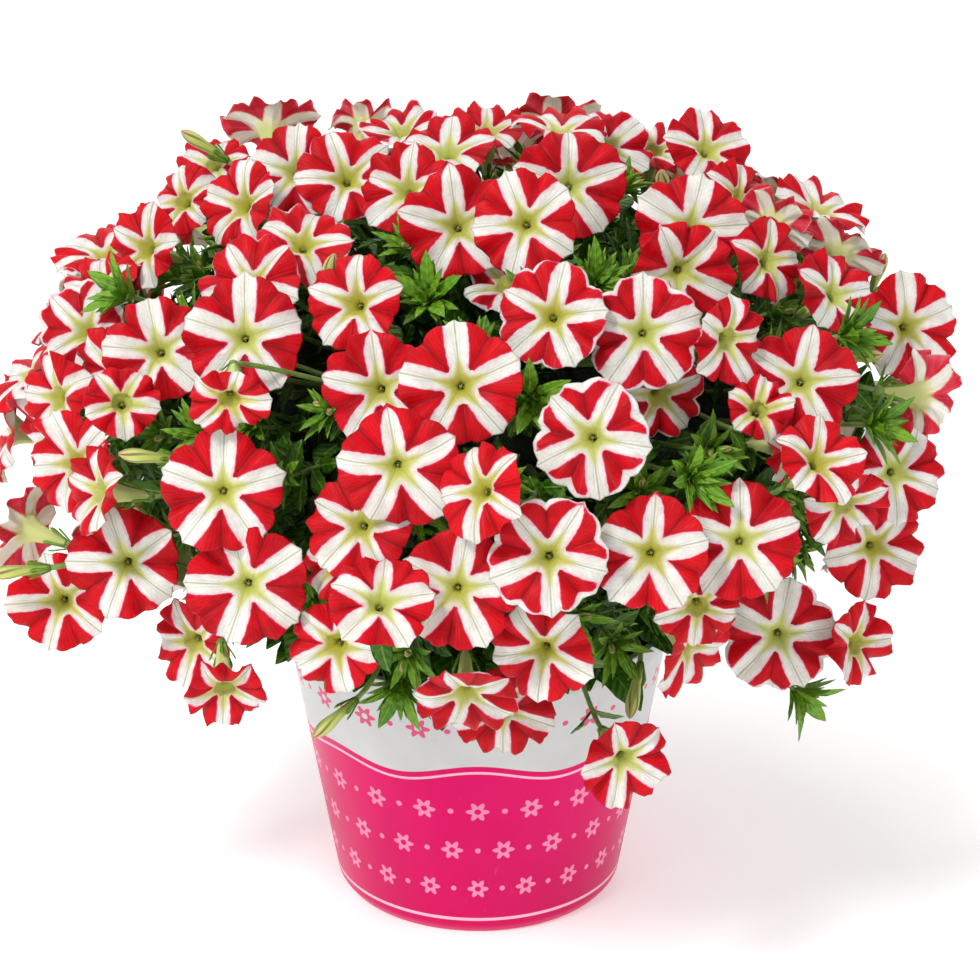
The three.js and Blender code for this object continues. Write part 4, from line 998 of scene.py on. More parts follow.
def blade(piece, leaf, shape, thick, cols, tint, chance, cell, wave=(0, 0, 0)):
    """A closed blade of its own thickness, whose top and underside share their rim. Notes:
    distance from the mid-rib (mm), from the root (mm), chance; part across, part along, tint."""
    t = np.array([row[0] for row in shape])[:, None]
    share = np.array([row[1] for row in shape])[:, None]
    s = np.linspace(-1, 1, cols)[None, :]
    rows = len(shape)
    edge = np.abs(s)
    half = share * leaf.width / 2
    height = (leaf.fold * edge ** 1.4 * share - leaf.droop * t * t
              + 0.03 * leaf.length * np.sin(math.pi * t)
              + wave[0] * edge ** 2 * np.sin(t * 15 + wave[1] + s * 2.2) * share)
    points = (leaf.root + (t * leaf.length + 0 * s)[..., None] * leaf.along
              + (s * half + wave[2] * t * t)[..., None] * leaf.side + height[..., None] * leaf.lift)
    rib = 0.8 * thick * bump(s, 0.18) * (1 - 0.6 * t)
    body = thick * (1 - s ** 2) * np.clip(share * 2, 0, 1) + rib
    under = points - body[..., None] * leaf.lift
    inner = np.zeros((rows, cols), bool)
    inner[1:-1, 1:-1] = True
    low = np.arange(rows * cols).reshape(rows, cols)
    low[inner] = rows * cols + np.arange(int(inner.sum()))
    quads = grid_faces(rows, cols, False)
    flat = grid_map(rows, cols, False)
    flat_up = flat.reshape(-1, 4, 2)[:, ::-1].reshape(-1, 2) * (0.49, 1)
    faces = np.concatenate([quads[:, ::-1], low.ravel()[quads]])
    one = np.ones((rows, cols))
    note = np.stack([half * edge, t * leaf.length * one, chance * one, edge * one, t * one,
                     tint * one], -1).reshape(-1, 6)
    flats = np.concatenate([flat_up, flat * (0.49, 1) + (0.51, 0)])
    piece.add(np.concatenate([points.reshape(-1, 3), under[inner]]),
              np.concatenate([note, note[inner.ravel()]]), (faces, LEAF, flats, cell))


def broad_leaf(piece, leaf, draw, deep=0.0):
    """The fine form of a leaf: brighter at the tip of a shoot, and darker with painted shade by `deep`
    inside the plant.
    """
    chance = take(draw, 6)
    if leaf.kind == "tuft":
        blade(piece, leaf, SMALL_SHAPE, SMALL_THICK, 7, 1.0, chance[1], 0.6, (0.5, 6 * chance[3], 0))
        return
    leaf.fold *= 0.6 + 0.5 * chance[0]
    wave = (1.3 * leaf.length / LEAF_LENGTH, 6 * chance[3], 3 * (chance[4] - 0.5))
    # a tint below 0 is painted shade, by `deep` for leaves inside the plant
    tint = 0.3 * chance[2] - deep
    blade(piece, leaf, BROAD_SHAPE, BROAD_THICK, 7, tint, chance[1], leaf.length / LEAF_LENGTH, wave)


def hairs(piece, path, radius, number, length, draw):
    """Fine soft hairs, thin three-sided spikes, all round a stalk or a tube."""
    path = np.asarray(path, float)
    points, faces, flat = [], [], []
    across = math.ceil(math.sqrt(number))
    for i in range(number):
        way = next(draw) * (len(path) - 1.01)
        k = int(way)
        axis = unit(path[k + 1] - path[k])
        side = side_of(axis, (0.3, 0.2, 1))
        out = at_turn(side, np.cross(axis, side), 2 * math.pi * next(draw))
        root = path[k] + (path[k + 1] - path[k]) * (way - k) + out * (radius * 0.85)
        other = np.cross(axis, out)
        tip = root + unit(out + axis * (next(draw) - 0.3)) * length * (0.6 + 0.7 * next(draw))
        points += [root + axis * 0.09, root - axis * 0.05 + other * 0.08,
                   root - axis * 0.05 - other * 0.08, tip]
        n = 4 * i
        faces += [(n, n + 1, n + 3, n + 3), (n + 1, n + 2, n + 3, n + 3), (n + 2, n, n + 3, n + 3),
                  (n, n + 2, n + 1, n + 1)]
        x, y = i % across, i // across
        for k in range(4):
            left = x + k / 4
            flat += [(left, y), (left + 0.2, y), (left + 0.1, y + 0.9), (left + 0.1, y + 0.9)]
    note = np.tile([5.0, 0.5, 0.5, 0.5, 0.1, 0.9], (len(points), 1))
    piece.add(np.array(points), note,
              (np.array(faces), STALK, np.array(flat) / (across + 0.001), 0.06 * across))


def green_parts(piece, bloom, spray, draw):
    """Calyx and curved stalk of a bloom, down to the fork of its spray."""
    chance = take(draw, 4)
    axis = bloom.axis
    base = bloom.place - axis * (TUBE_LENGTH - 0.5)
    top, right = bloom_frame(axis)
    tube(piece, [base - axis * 2.5, base - axis * 1.2, base + axis, base + axis * 3],
         [1.5, 2.7, 3.0, 2.3], 8, STALK, 0.6, 0.12)
    for i in range(SEPALS):
        turn = 2 * math.pi * (i + chance[0]) / SEPALS
        out = at_turn(top, right, turn)
        leaf = Leaf(base + out * 2.2, unit(axis + out * 0.32), out, 13 + 3 * chance[1], 2.6, 0.4, -1)
        blade(piece, leaf, SEPAL_SHAPE, SMALL_THICK, 5, 0.6, chance[2], 0.14)
    seat = spray.fork - spray.up * FORK_SEAT
    gap = bloom.end - seat
    long = norm(gap)
    for bend in (0.25, 0.15, 0.07, 0.0):
        path = curve(base - axis, base - axis - (gap * 0.05 + axis * long * bend),
                     seat + gap * 0.05 + spray.up * (bend * long), seat, 10)
        if clear_of_blooms(path[1:], 1.6, bloom):
            break
    tube(piece, path, np.linspace(1.35, 1.2, 10), 6, STALK, 0.3, 0.3)
    hairs(piece, path, 1.3, 40, 1.5, draw)
    hairs(piece, [base - axis * 2, base + axis * 4, base + axis * 12], 2.6, 22, 1.3, draw)
    return path


BLOOM_NEAR = 90
FACE_VIEW = 36


def clear_of_blooms(points, room, own=None):
    """Whether no point lies within `room` of a bloom's limb or tube, apart from its `own`."""
    middle = points.mean(0)
    near = (o for o in blooms if o is not own and norm(o.place - middle) < BLOOM_NEAR)
    return not any(o.holds(points, room).any() for o in near)


def before_a_bloom(points):
    """Whether a point stands over the open face of a bloom."""
    middle = points.mean(0)
    for bloom in blooms:
        if norm(middle - bloom.place) < BLOOM_NEAR - 10:
            h, r = bloom.height_and_radius(points)
            if ((h > 0) & (h < FACE_VIEW) & (r < 0.8 * bloom.reach)).any():
                return True
    return False


def leaf_points(leaf):
    """Points all over a leaf, close enough together for no petal to pass between them."""
    parts = (0.16, 0.32, 0.5, 0.66, 0.82, 1)
    return np.array([leaf.at(part, side, 0) for part in parts for side in (-0.8, 0, 0.8)])


def try_leaf(piece, root, along, up, length, aspect, draw, deep=0.0):
    """Adds a leaf where it stands clear of the blooms and of the pot, darkened by `deep` with painted
    shade.
    """
    along = unit(np.asarray(along, float))
    if abs(float(along @ unit(np.asarray(up, float)))) > 0.94:
        return
    leaf = Leaf(root, along, up, length, aspect * length, LEAF_FOLD * length / LEAF_LENGTH,
                LEAF_DROOP * length / LEAF_LENGTH)
    points = leaf_points(leaf)
    if inside_pot(points) or not clear_of_blooms(points, 1.3) or before_a_bloom(points):
        return
    broad_leaf(piece, leaf, draw, deep)


def stalk_leaves(piece, path, draw):
    """Small leaves in pairs along a bloom's stalk."""
    for share in (0.3, 0.72):
        k = int(share * (len(path) - 1))
        axis = unit(path[k] - path[k + 1])
        side = side_of(axis, (0.3, 0.2, 1))
        other = np.cross(axis, side)
        turn = 2 * math.pi * next(draw)
        for half in (0, math.pi):
            out = at_turn(side, other, turn + half)
            length = 17 + 13 * next(draw)
            try_leaf(piece, path[k] - out * 0.5, out + axis * 0.7, axis, length, 0.5, draw)


# ---- looks: materials ----

def shade(red, green, blue):
    """A colour from 0 to 255 as it shows on a screen, in the shaders' linear light."""
    part = np.array([red, green, blue]) / 255
    linear = np.where(part <= 0.04045, part / 12.92, ((part + 0.055) / 1.055) ** 2.4)
    return (*(float(v) for v in linear), 1.0)


class Value:
    """A value in the nodes of a look, from which sums, products and steps are made."""

    def __init__(self, look, socket):
        self.look = look
        self.socket = socket

    def __add__(self, other):
        return self.look.math("ADD", self, other)

    def __sub__(self, other):
        return self.look.math("SUBTRACT", self, other)

    def __rsub__(self, other):
        return self.look.math("SUBTRACT", other, self)

    def __mul__(self, other):
        return self.look.math("MULTIPLY", self, other)

    def __truediv__(self, other):
        return self.look.math("DIVIDE", self, other)

    def step(self, low, high, start=0.0, end=1.0):
        """From `start` to `end` as the value goes from low to high, without corners."""
        given = enumerate((self, low, high, start, end))
        return self.look.node("ShaderNodeMapRange", given, interpolation_type="SMOOTHSTEP")

    def line(self, spacing, width):
        """1 on thin lines where the value is a multiple of `spacing`, 0 between them."""
        return self.look.math("PINGPONG", self, spacing / 2).step(width * 0.4, width, 1.0, 0.0)

    def band(self, low, high, soft=0.4):
        """1 between low and high, 0 outside them."""
        return self.step(low, low + soft) * self.step(high, high - soft)


class Look:
    """A material and the nodes that make it."""

    def __init__(self, name, roughness, sockets=()):
        self.material = bpy.data.materials.new(name)
        self.material.use_nodes = True
        self.nodes = self.material.node_tree.nodes
        self.links = self.material.node_tree.links
        self.shader = self.nodes["Principled BSDF"]
        self.shader.inputs["Roughness"].default_value = roughness
        for socket, value in dict(sockets).items():
            self.shader.inputs[socket].default_value = value

    def put(self, value, socket):
        if isinstance(value, Value):
            self.links.new(value.socket, socket)
        else:
            socket.default_value = value

    def node(self, kind, inputs=(), output=0, **settings):
        """Makes a node with its settings and its inputs, and gives one of its outputs."""
        node = self.nodes.new(kind)
        for name, value in settings.items():
            setattr(node, name, value)
        for key, value in dict(inputs).items():
            self.put(value, node.inputs[key])
        return Value(self, node.outputs[output])

    def math(self, operation, *values):
        return self.node("ShaderNodeMath", enumerate(values), operation=operation)

    def hypot(self, u, v):
        return self.math("SQRT", u * u + v * v)

    def mix(self, part, a, b):
        """Colour a where `part` is 0, b where it is 1. Plain colours are given from 0 to 255."""
        a, b = (shade(*colour) if isinstance(colour, tuple) else colour for colour in (a, b))
        return self.node("ShaderNodeMix", {"Factor": part, 6: a, 7: b}, 2, data_type="RGBA")

    def layers(self, colour, *over):
        """A colour with others laid over it in turn, each given after the part that it covers."""
        for part, more in over:
            colour = self.mix(part, colour, more)
        return colour

    def noise(self, scale, detail=2.0, stretch=None):
        """Noise with about `scale` spots to a metre."""
        where = self.node("ShaderNodeTexCoord", output="Object")
        if stretch:
            where = self.node("ShaderNodeMapping", {"Vector": where, "Scale": stretch})
        return self.node("ShaderNodeTexNoise", {"Vector": where, "Scale": scale, "Detail": detail})

    def wander(self, scale, size):
        """Noise both ways from 0, for edges and veins that aren't quite straight."""
        return (self.noise(scale) - 0.5) * size

    def mottled(self, scale, detail, low, high):
        """Soft patches: 0 where the noise is under `low`, 1 where it is over `high`."""
        return self.noise(scale, detail).step(low, high)

    def parts(self, vector):
        node = self.nodes.new("ShaderNodeSeparateXYZ")
        self.put(vector, node.inputs[0])
        return [Value(self, output) for output in node.outputs]

    def notes(self):
        """The six notes of a point. The functions that make the meshes say what they are."""
        return [part for name in NOTE_LAYERS for part in self.parts(
            self.node("ShaderNodeAttribute", output="Vector", attribute_name=name))]

    def place(self):
        return self.parts(self.node("ShaderNodeTexCoord", output="Object"))

    def finish(self, colour, height, distance, strength=1.0):
        """Gives the shader its colour and bumps, `distance` mm high where `height` is 1."""
        self.put(colour, self.shader.inputs["Base Color"])
        normal = self.node("ShaderNodeBump", {"Height": height, "Distance": distance * MM,
                                              "Strength": strength})
        self.put(normal, self.shader.inputs["Normal"])
        return self.material


PETAL_GLOW = {"Subsurface Radius": (1.0, 0.65, 0.6), "Subsurface Scale": 0.002,
              "Specular IOR Level": 0.16}
RAY_RAGGED = 1.3
FAN_WIDTH = 36.0


def petal_face():
    """Red with a white ray on each lobe, fine veins, painted shade that darkens the red in the crease
    between lobes and toward the throat, and a golden throat.
    """
    look = Look("petal_face", 0.5, {**PETAL_GLOW, "Subsurface Weight": 0.3})
    inside, part, chance, off, way, across = look.notes()
    ray = inside + look.wander(260, RAY_RAGGED)
    fan = across * FAN_WIDTH
    wander = look.wander(240, 3.0)
    veins = (fan + wander).line(4.4, 0.55)
    # seam: where painted shade goes, in the crease between two lobes and on the inner part toward the
    # throat
    seam = look.math("MAXIMUM", across.step(0.84, 1.0), part.step(0.6, 0.22))
    red = look.layers(
        (170, 0, 14),
        (look.mottled(85, 3, 0.35, 0.65), (206, 6, 24)),
        (chance.step(0.2, 0.9) * 0.4, (214, 14, 22)),
        # painted shade: darker red in the crease between lobes and toward the throat
        (seam * 0.55, (112, 0, 10)),
        (veins * 0.3, (124, 0, 16)))
    side_veins = (way - off * 1.15 + wander).line(3.3, 0.34)
    rib = off.step(0.6, 0.12)
    beside_rib = look.math("ABSOLUTE", off - way * 0.075).step(0.42, 0.1) * part.step(0.95, 0.6)
    streak = (way - off.step(3.4, 0.0) * 7.0).step(11, 2)
    gold = look.mix(chance, (198, 202, 104), (190, 182, 66))
    white = look.layers(
        (220, 215, 207),
        (look.mottled(120, 2, 0.3, 0.7), (236, 232, 227)),
        (side_veins * 0.16, (190, 190, 170)),
        (rib * 0.65, (158, 164, 128)),
        (beside_rib * 0.35, (168, 172, 140)),
        (streak * 0.85, gold),
        ((ray + wander).step(1.8, 0.1) * 0.4, (232, 150, 170)))
    cup = look.layers(
        (178, 178, 76),
        (way.step(0.8, 3.2), gold),
        (fan.line(12.0, 1.6) * 0.4, (126, 132, 38)))
    colour = look.layers(
        red,
        (ray.step(-1.0, -0.1), (208, 30, 84)),
        (ray.step(-0.3, 0.3), white),
        ((way + look.wander(600, 2.0)).step(6.6, 3.8), cup))
    height = look.noise(900) * 0.5 - veins * 0.5 - side_veins * 0.35 - rib * 0.8
    return look.finish(colour, height, 0.35, 0.7)


def petal_back():
    """Paler red and cream, with a green tinge where the limb narrows to its tube."""
    look = Look("petal_back", 0.6, {**PETAL_GLOW, "Subsurface Weight": 0.6})
    inside, _, _, _, way, across = look.notes()
    ray = inside + look.wander(260, RAY_RAGGED)
    fan = across * FAN_WIDTH
    veins = (fan + look.wander(240, 3.0)).line(6.0, 0.8)
    pale = look.mix(look.mottled(150, 2, 0.3, 0.7), (236, 232, 216), (246, 243, 234))
    neck = look.mix(fan.line(9.0, 1.3) * 0.35, (216, 222, 148), (160, 172, 84))
    colour = look.layers(
        (198, 30, 56),
        (look.mottled(90, 3, 0.35, 0.7), (214, 62, 88)),
        (ray.step(-1.6, -0.2), pale),
        (veins * 0.1, (200, 150, 136)),
        (way.step(12, 6), neck))
    return look.finish(colour, look.noise(900) * 0.4 + veins, 0.4, 0.7)


def leaf_look():
    """Deep green leaves with paler veins: bright where young, and nearly black with painted shade where
    they lie deep in the plant.
    """
    look = Look("leaf", 0.46, {"Specular IOR Level": 0.35})
    off, way, chance, across, _, tint = look.notes()
    slant = way - off * 0.9
    side_veins = (slant + look.wander(200, 3.0)).line(5.2, 0.5) * across.step(1.0, 0.75)
    rib = off.step(0.8, 0.25)
    # lit: 1 on leaves in the open, down to 0.25 where painted shade makes them dark, so that their
    # veins fade in the painted shade
    lit = tint.step(-1.0, 0.0, 0.25, 1.0)
    colour = look.layers(
        look.mix(chance, (24, 62, 2), (52, 104, 8)),
        (look.mottled(160, 3, 0.35, 0.7) * 0.6, (66, 118, 14)),
        (tint.step(0.0, 1.0), look.mix(chance, (84, 138, 16), (128, 174, 36))),
        # painted shade: leaves deep in the plant, whose tint is below 0, go nearly black
        (tint.step(0.0, -1.0), (12, 28, 2)),
        (side_veins * (lit * 0.3), (104, 150, 44)),
        (rib * (lit * 0.55), (134, 174, 66)),
        (across.step(0.88, 1.0) * 0.25, (28, 52, 12)))
    pucker = look.math("PINGPONG", slant, 2.6) * 0.35
    return look.finish(colour, look.noise(1100) * 0.35 + pucker - rib * 1.1, 0.6, 0.8)


def stalk_look():
    look = Look("stalk", 0.55, {"Sheen Weight": 0.25, "Sheen Roughness": 0.3})
    tint = look.notes()[-1]
    green = look.layers(
        (92, 130, 48),
        (tint, (128, 162, 70)),
        (look.mottled(260, 3, 0.4, 0.75), (96, 104, 52)))
    return look.finish(green, look.noise(500, 3, (1, 1, 0.3)), 0.3, 0.6)


def bud_look():
    """Green to yellow, with dark twisted ribs that grow stronger towards the tip."""
    look = Look("bud", 0.5, {"Sheen Weight": 0.2})
    _, part, _, turn, _, _ = look.notes()
    ribs = (turn * 5.0 + part * 1.1).line(1.0, 0.22)
    colour = look.layers(
        (150, 178, 66),
        (part, (206, 210, 108)),
        (ribs * part.step(0.25, 0.95, 0.15, 0.85), (84, 34, 62)),
        (part.step(0.75, 1.0) * 0.45, (150, 54, 84)))
    return look.finish(colour, look.noise(900) * 0.4 + ribs, 0.4, 0.7)


def core_look():
    look = Look("dense_leaves_painted_shade", 0.8)
    # painted shade: the dense inside is a nearly black green, for the shade deep in the plant
    colour = look.mix(look.mottled(70, 4, 0.35, 0.7), (8, 18, 5), (26, 50, 14))
    return look.finish(colour, look.noise(120, 4), 5.0)


def plain_green(name, dark, light, roughness, scale):
    look = Look(name, roughness)
    colour = look.mix(look.mottled(scale, 3, 0.3, 0.7), dark, light)
    return look.finish(colour, look.noise(scale * 3), 0.2, 0.6)


def soil_look():
    """Dark peat with paler bits of bark."""
    look = Look("peat_soil", 0.95)
    crumbs = look.noise(180, 5)
    bark = look.noise(420, 2, (1, 0.4, 1)).step(0.64, 0.7)
    colour = look.layers(
        (22, 15, 10),
        (crumbs.step(0.35, 0.65), (66, 46, 31)),
        (bark * 0.6, (122, 92, 62)))
    return look.finish(colour, crumbs + look.noise(700, 3), 3.0)


# ---- looks: the printed pot ----

PRINT_COLUMNS = 20
PRINT_PITCH = 27.0
PRINT_RISE = 8.0
PRINT_EDGE = 112.0
PRINT_LOWEST = 19.0
PRINT_HIGHEST = 152.5
MOTIF_BELOW_EDGE = 13.0
MOTIF_ABOVE_EDGE = -15.0
EDGE_LINE = (3.4, 5.4)
FOOT_LINE = (9.4, 11.8)


def print_motif(look, tall, turn):
    """1 on rows of rosettes round the pot and on the dots between them, 0 elsewhere."""
    row = look.math("FLOOR", (tall + PRINT_RISE) / PRINT_PITCH)
    shift = look.math("PINGPONG", row, 1.0) * 0.5
    column = turn * (PRINT_COLUMNS / (2 * math.pi)) + shift
    u = (column - look.math("FLOOR", column) - 0.5) * (PRINT_PITCH * 1.14)
    v = tall + PRINT_RISE - row * PRINT_PITCH - PRINT_PITCH / 2
    away = look.hypot(u, v)
    petals = look.math("COSINE", look.math("ARCTAN2", v, u) * 6.0)
    rosette = (petals * 1.5 + 5.4 - away).step(0.0, 0.5) * away.step(1.7, 2.1)
    beside = look.hypot(PRINT_PITCH * 0.57 - look.math("ABSOLUTE", u), v)
    return look.math("MAXIMUM", rosette, beside.step(1.9, 1.5))


def pot_look():
    """Glossy plastic with a print all round: hot pink up to a waved edge, pale grey above it,
    rosettes and dots on both, and a thin line along the edge and round the foot."""
    look = Look("printed_plastic", 0.33, {"Specular IOR Level": 0.26,
                                         "Specular Tint": (1.0, 0.3, 0.55, 1.0)})
    x, y, z = look.place()
    tall = z * 1000.0
    turn = look.math("ARCTAN2", y, x)
    wave = look.math("SINE", turn * 7.0) * 3.2 + look.math("SINE", turn * 3.0) * 2.4
    depth = wave + PRINT_EDGE - tall
    motif = print_motif(look, tall, turn)
    on_pink = (depth.step(MOTIF_BELOW_EDGE, MOTIF_BELOW_EDGE + 1)
               * tall.step(PRINT_LOWEST, PRINT_LOWEST + 0.5))
    pink = look.layers(
        look.mix(tall.step(5, 105), (200, 0, 86), (218, 0, 98)),
        (look.noise(30) * 0.08, (240, 90, 140)),
        (motif * on_pink * 0.85, (240, 150, 186)),
        (tall.band(*FOOT_LINE), (244, 190, 210)),
        (depth.band(*EDGE_LINE), (244, 190, 210)))
    on_grey = (motif * depth.step(MOTIF_ABOVE_EDGE, MOTIF_ABOVE_EDGE - 1)
               * tall.step(PRINT_HIGHEST + 0.5, PRINT_HIGHEST))
    grey = look.layers(
        (196, 199, 198),
        (look.noise(40), (212, 215, 213)),
        (on_grey * 0.85, (222, 24, 110)))
    inked = depth.step(-0.2, 0.2)
    scuffs = look.noise(220, 4, (1, 1, 0.25)).step(0.66, 0.8)
    colour = look.layers(grey, (inked, pink), (scuffs * 0.18, (150, 120, 130)))
    return look.finish(colour, inked * 0.3 + look.noise(60, 3) * 0.35, 0.25, 0.5)


def pot_inside_look():
    look = Look("pot_inside", 0.45)
    colour = look.mix(look.noise(60, 3), (196, 196, 194), (214, 214, 212))
    return look.finish(colour, look.noise(200, 3), 0.1, 0.4)


# ---- looks: building the plant ----

PETAL_LOOKS = [petal_face(), petal_back(),
               plain_green("stigma", (122, 138, 50), (152, 162, 72), 0.45, 900),
               plain_green("anther", (134, 134, 62), (166, 164, 92), 0.7, 1400)]
GREEN_LOOKS = [leaf_look(), stalk_look(), bud_look(), core_look()]

COVER_POINTS = 720
COVER_LEVEL = 0.95
COVER_LOWEST = -0.93
SHOOT_POINTS = 240
SHOOT_LOWEST = -0.75
SHOOT_FEWEST_LEAVES = 9
RIM_LEAVES = 15
CORE_SHRINK = 0.92

# Rings of young leaves at a tip: their lean outward, length, number and width for their length
SHOOT_RINGS = ((1.2, 23, 7, 0.23), (0.75, 21, 6, 0.23), (0.35, 15, 4, 0.23))
HEART_RINGS = ((1.2, 23, 7, 0.24), (0.75, 23, 7, 0.2), (0.45, 19, 6, 0.22), (0.2, 12, 4, 0.26))


def stem_leaves(piece, index, own, draw):
    """Smaller leaves round each large one, a close cover of little ones on the inside, both darkened
    with painted shade like the inside itself, leaves over the pot's rim, and side shoots."""
    for leaf in own:
        for _ in range(3):
            root = leaf.root + drawn_vector(draw) * 26
            out = unit(root - CORE_CENTRE)
            along = out * 0.75 + leaf.along * 0.45 + drawn_vector(draw) * 1.3
            length = 19 + 17 * next(draw)
            up = (0, 0, 1) if abs(unit(along)[2]) < 0.85 else out
            # 0.3: painted shade on the smaller leaves round a large one
            try_leaf(piece, root, along, up, length, 0.46 + 0.12 * next(draw), draw, 0.3)
    for i in range(COVER_POINTS):
        direction = spiral_point(i, COVER_POINTS)
        at = on_core(direction, COVER_LEVEL)
        turn, rise, long = take(draw, 5)[:3]
        if direction[2] < COVER_LOWEST or stem_of(at) != index:
            continue
        out = unit(at - CORE_CENTRE)
        around = side_of(out, steep=0.95)
        along = at_turn(around, np.cross(out, around), 6.3 * turn) + out * (0.25 + 0.7 * rise)
        # 0.9: strong painted shade on the cover of little leaves inside the plant
        try_leaf(piece, at - out * 2, along, out, 20 + 12 * long, 0.55, draw, 0.9)
    rim_leaves(piece, index, draw)
    for i in range(SHOOT_POINTS):
        direction = spiral_point(i, SHOOT_POINTS)
        place = MOUND_CENTRE + direction * MOUND_HALF * (0.8 + 0.14 * next(draw))
        values = take(draw, 3)
        if direction[2] > SHOOT_LOWEST and stem_of(place) == index:
            side_shoot(piece, place, values, draw)


def rim_leaves(piece, index, draw):
    """Leaves that lean out over the rim of the pot, beside those of the rule."""
    for i in range(RIM_LEAVES):
        turn = 2 * math.pi * (index + (i + 0.5) / RIM_LEAVES) / STEMS
        values = take(draw, 5)
        far = 88 + 20 * values[0]
        root = np.array([far * math.cos(turn), far * math.sin(turn), 182 + 30 * values[1]])
        aim = turn + 0.7 * (values[2] - 0.5)
        along = np.array([math.cos(aim), math.sin(aim), -0.05 - 0.45 * values[3]])
        try_leaf(piece, root, along, (0, 0, 1), 34 + 20 * values[4], 0.54, draw)


def young_leaves(rings, top, out, side, twist, vary, rise, droop, draw):
    """Offers narrow leaves in rings round the tip of a shoot, each ring `rise` mm above the last."""
    for ring, (lean, length, count, aspect) in enumerate(rings):
        for i in range(count):
            turn = 2 * math.pi * (i + twist * ring + 0.4 * next(draw)) / count
            tilt = at_turn(side, np.cross(out, side), turn)
            long = length * (0.8 + vary * next(draw))
            yield Leaf(top - out * (5 - rise * ring), unit(out + tilt * lean), -tilt, long,
                       long * aspect, 1.0, droop)


def side_shoot(piece, top, values, draw):
    """A young shoot between the blooms: a stalk, leaves along it and a bunch of narrow ones."""
    out = unit(unit(top - CORE_CENTRE) + np.array([values[0] - 0.5, values[1] - 0.5, 0.3]) * 0.5)
    root = on_core(unit(top - CORE_CENTRE), 0.9)
    path = curve(root, root + unit(root - CORE_CENTRE) * 12, top - out * 20, top, 10)
    if not (clear_of_blooms(path[1:7], 2.2) and clear_of_blooms(path[7:], 3.5)):
        return
    side = side_of(out, (0.2, 0.1, 1))
    other = np.cross(out, side)
    heads = [leaf for leaf in young_leaves(SHOOT_RINGS, top, out, side, 0.5, 0.4, 1.5, 1.6, draw)
             if clear_of_blooms(leaf_points(leaf), 1.2)]
    if len(heads) < SHOOT_FEWEST_LEAVES:
        return
    tube(piece, path, np.linspace(1.7, 1.1, 10), 6, STALK, 0.6, 0.3)
    hairs(piece, path[4:], 1.3, 30, 1.4, draw)
    for leaf in heads:
        blade(piece, leaf, SMALL_SHAPE, SMALL_THICK, 5, 0.55 + 0.45 * next(draw), next(draw), 0.45)
    for k in range(2):
        axis = unit(out + at_turn(side, other, 3.4 * k + 6 * values[2]) * 0.55)
        size = 7 + 4 * next(draw)
        parts = np.array([-0.6, 0, 0.2, 0.5, 0.75, 0.93, 1])
        rises = top - out * 3 + axis * (parts * size + 5)[:, None]
        if clear_of_blooms(rises, 2.0):
            tube(piece, rises, [0.7, 0.9, 1.5, 1.9, 1.7, 1.0, 0.3], 10, BUD, cell=0.25)
    for k in (4, 5, 6, 7):
        tilt = at_turn(side, other, 2.4 * k + 6 * values[2])
        for half in (1, -1):
            try_leaf(piece, path[k], tilt * half + out * 0.6, out, 17 + 11 * next(draw), 0.46, draw)


def core_wedge(piece, index):
    """The dense inside of a leafy stem, dark with painted shade, a little smaller than its solid."""
    inner, foot = 3, CORE_FOOT + 4
    loop = [(inner, foot), (CORE_NECK - 5, foot), (CORE_NECK - 2, foot + 30)]
    for s in (-0.8, -0.5, -0.15, 0.2, 0.55, 0.85):
        tall = CORE_ABOVE if s > 0 else CORE_BELOW
        loop.append((CORE_HALF_WIDTH * math.sqrt(1 - s * s) * CORE_SHRINK,
                     CORE_CENTRE[2] + s * tall * CORE_SHRINK))
    loop.append((inner, CORE_CENTRE[2] + CORE_ABOVE * CORE_SHRINK))
    loop = np.array(loop)
    fine = []
    for k in range(len(loop)):
        a, b = loop[k], loop[(k + 1) % len(loop)]
        steps = 3 if k > 1 else 1
        fine += [a + (b - a) * i / steps for i in range(steps)]
    fine = np.array(fine)
    slot = 2 * math.pi / STEMS
    cols, count = 15, len(fine)
    turns = index * slot + slot * np.linspace(0.012, 0.988, cols)[:, None]
    ring = np.arange(count)
    lump = 1 + 0.03 * np.sin(9 * turns + 0.8 * ring) + 0.02 * np.sin(23 * turns + 2.1 * ring)
    across, tall = fine.T
    lump = np.where(across > 20, lump, 1.0)
    z = CORE_CENTRE[2] + (tall - CORE_CENTRE[2]) * np.where(tall > 200, lump, 1)
    r = across * lump
    points = np.stack([r * np.cos(turns), r * np.sin(turns), z + 0 * turns], -1)
    faces = grid_faces(cols, count, True)[:, ::-1]
    flat = grid_map(cols, count, True).reshape(-1, 4, 2)[:, ::-1].reshape(-1, 2)
    ends = np.stack([points[0].mean(0), points[-1].mean(0)])
    caps = np.concatenate(end_caps(cols, count))[:, [0, 2, 1, 1]]
    points = np.concatenate([points.reshape(-1, 3), ends])
    flats = np.concatenate([flat, np.full((len(caps) * 4, 2), 0.5)])
    piece.add(points, np.zeros((len(points), 6)), (np.concatenate([faces, caps]), CORE, flats, 1.4))


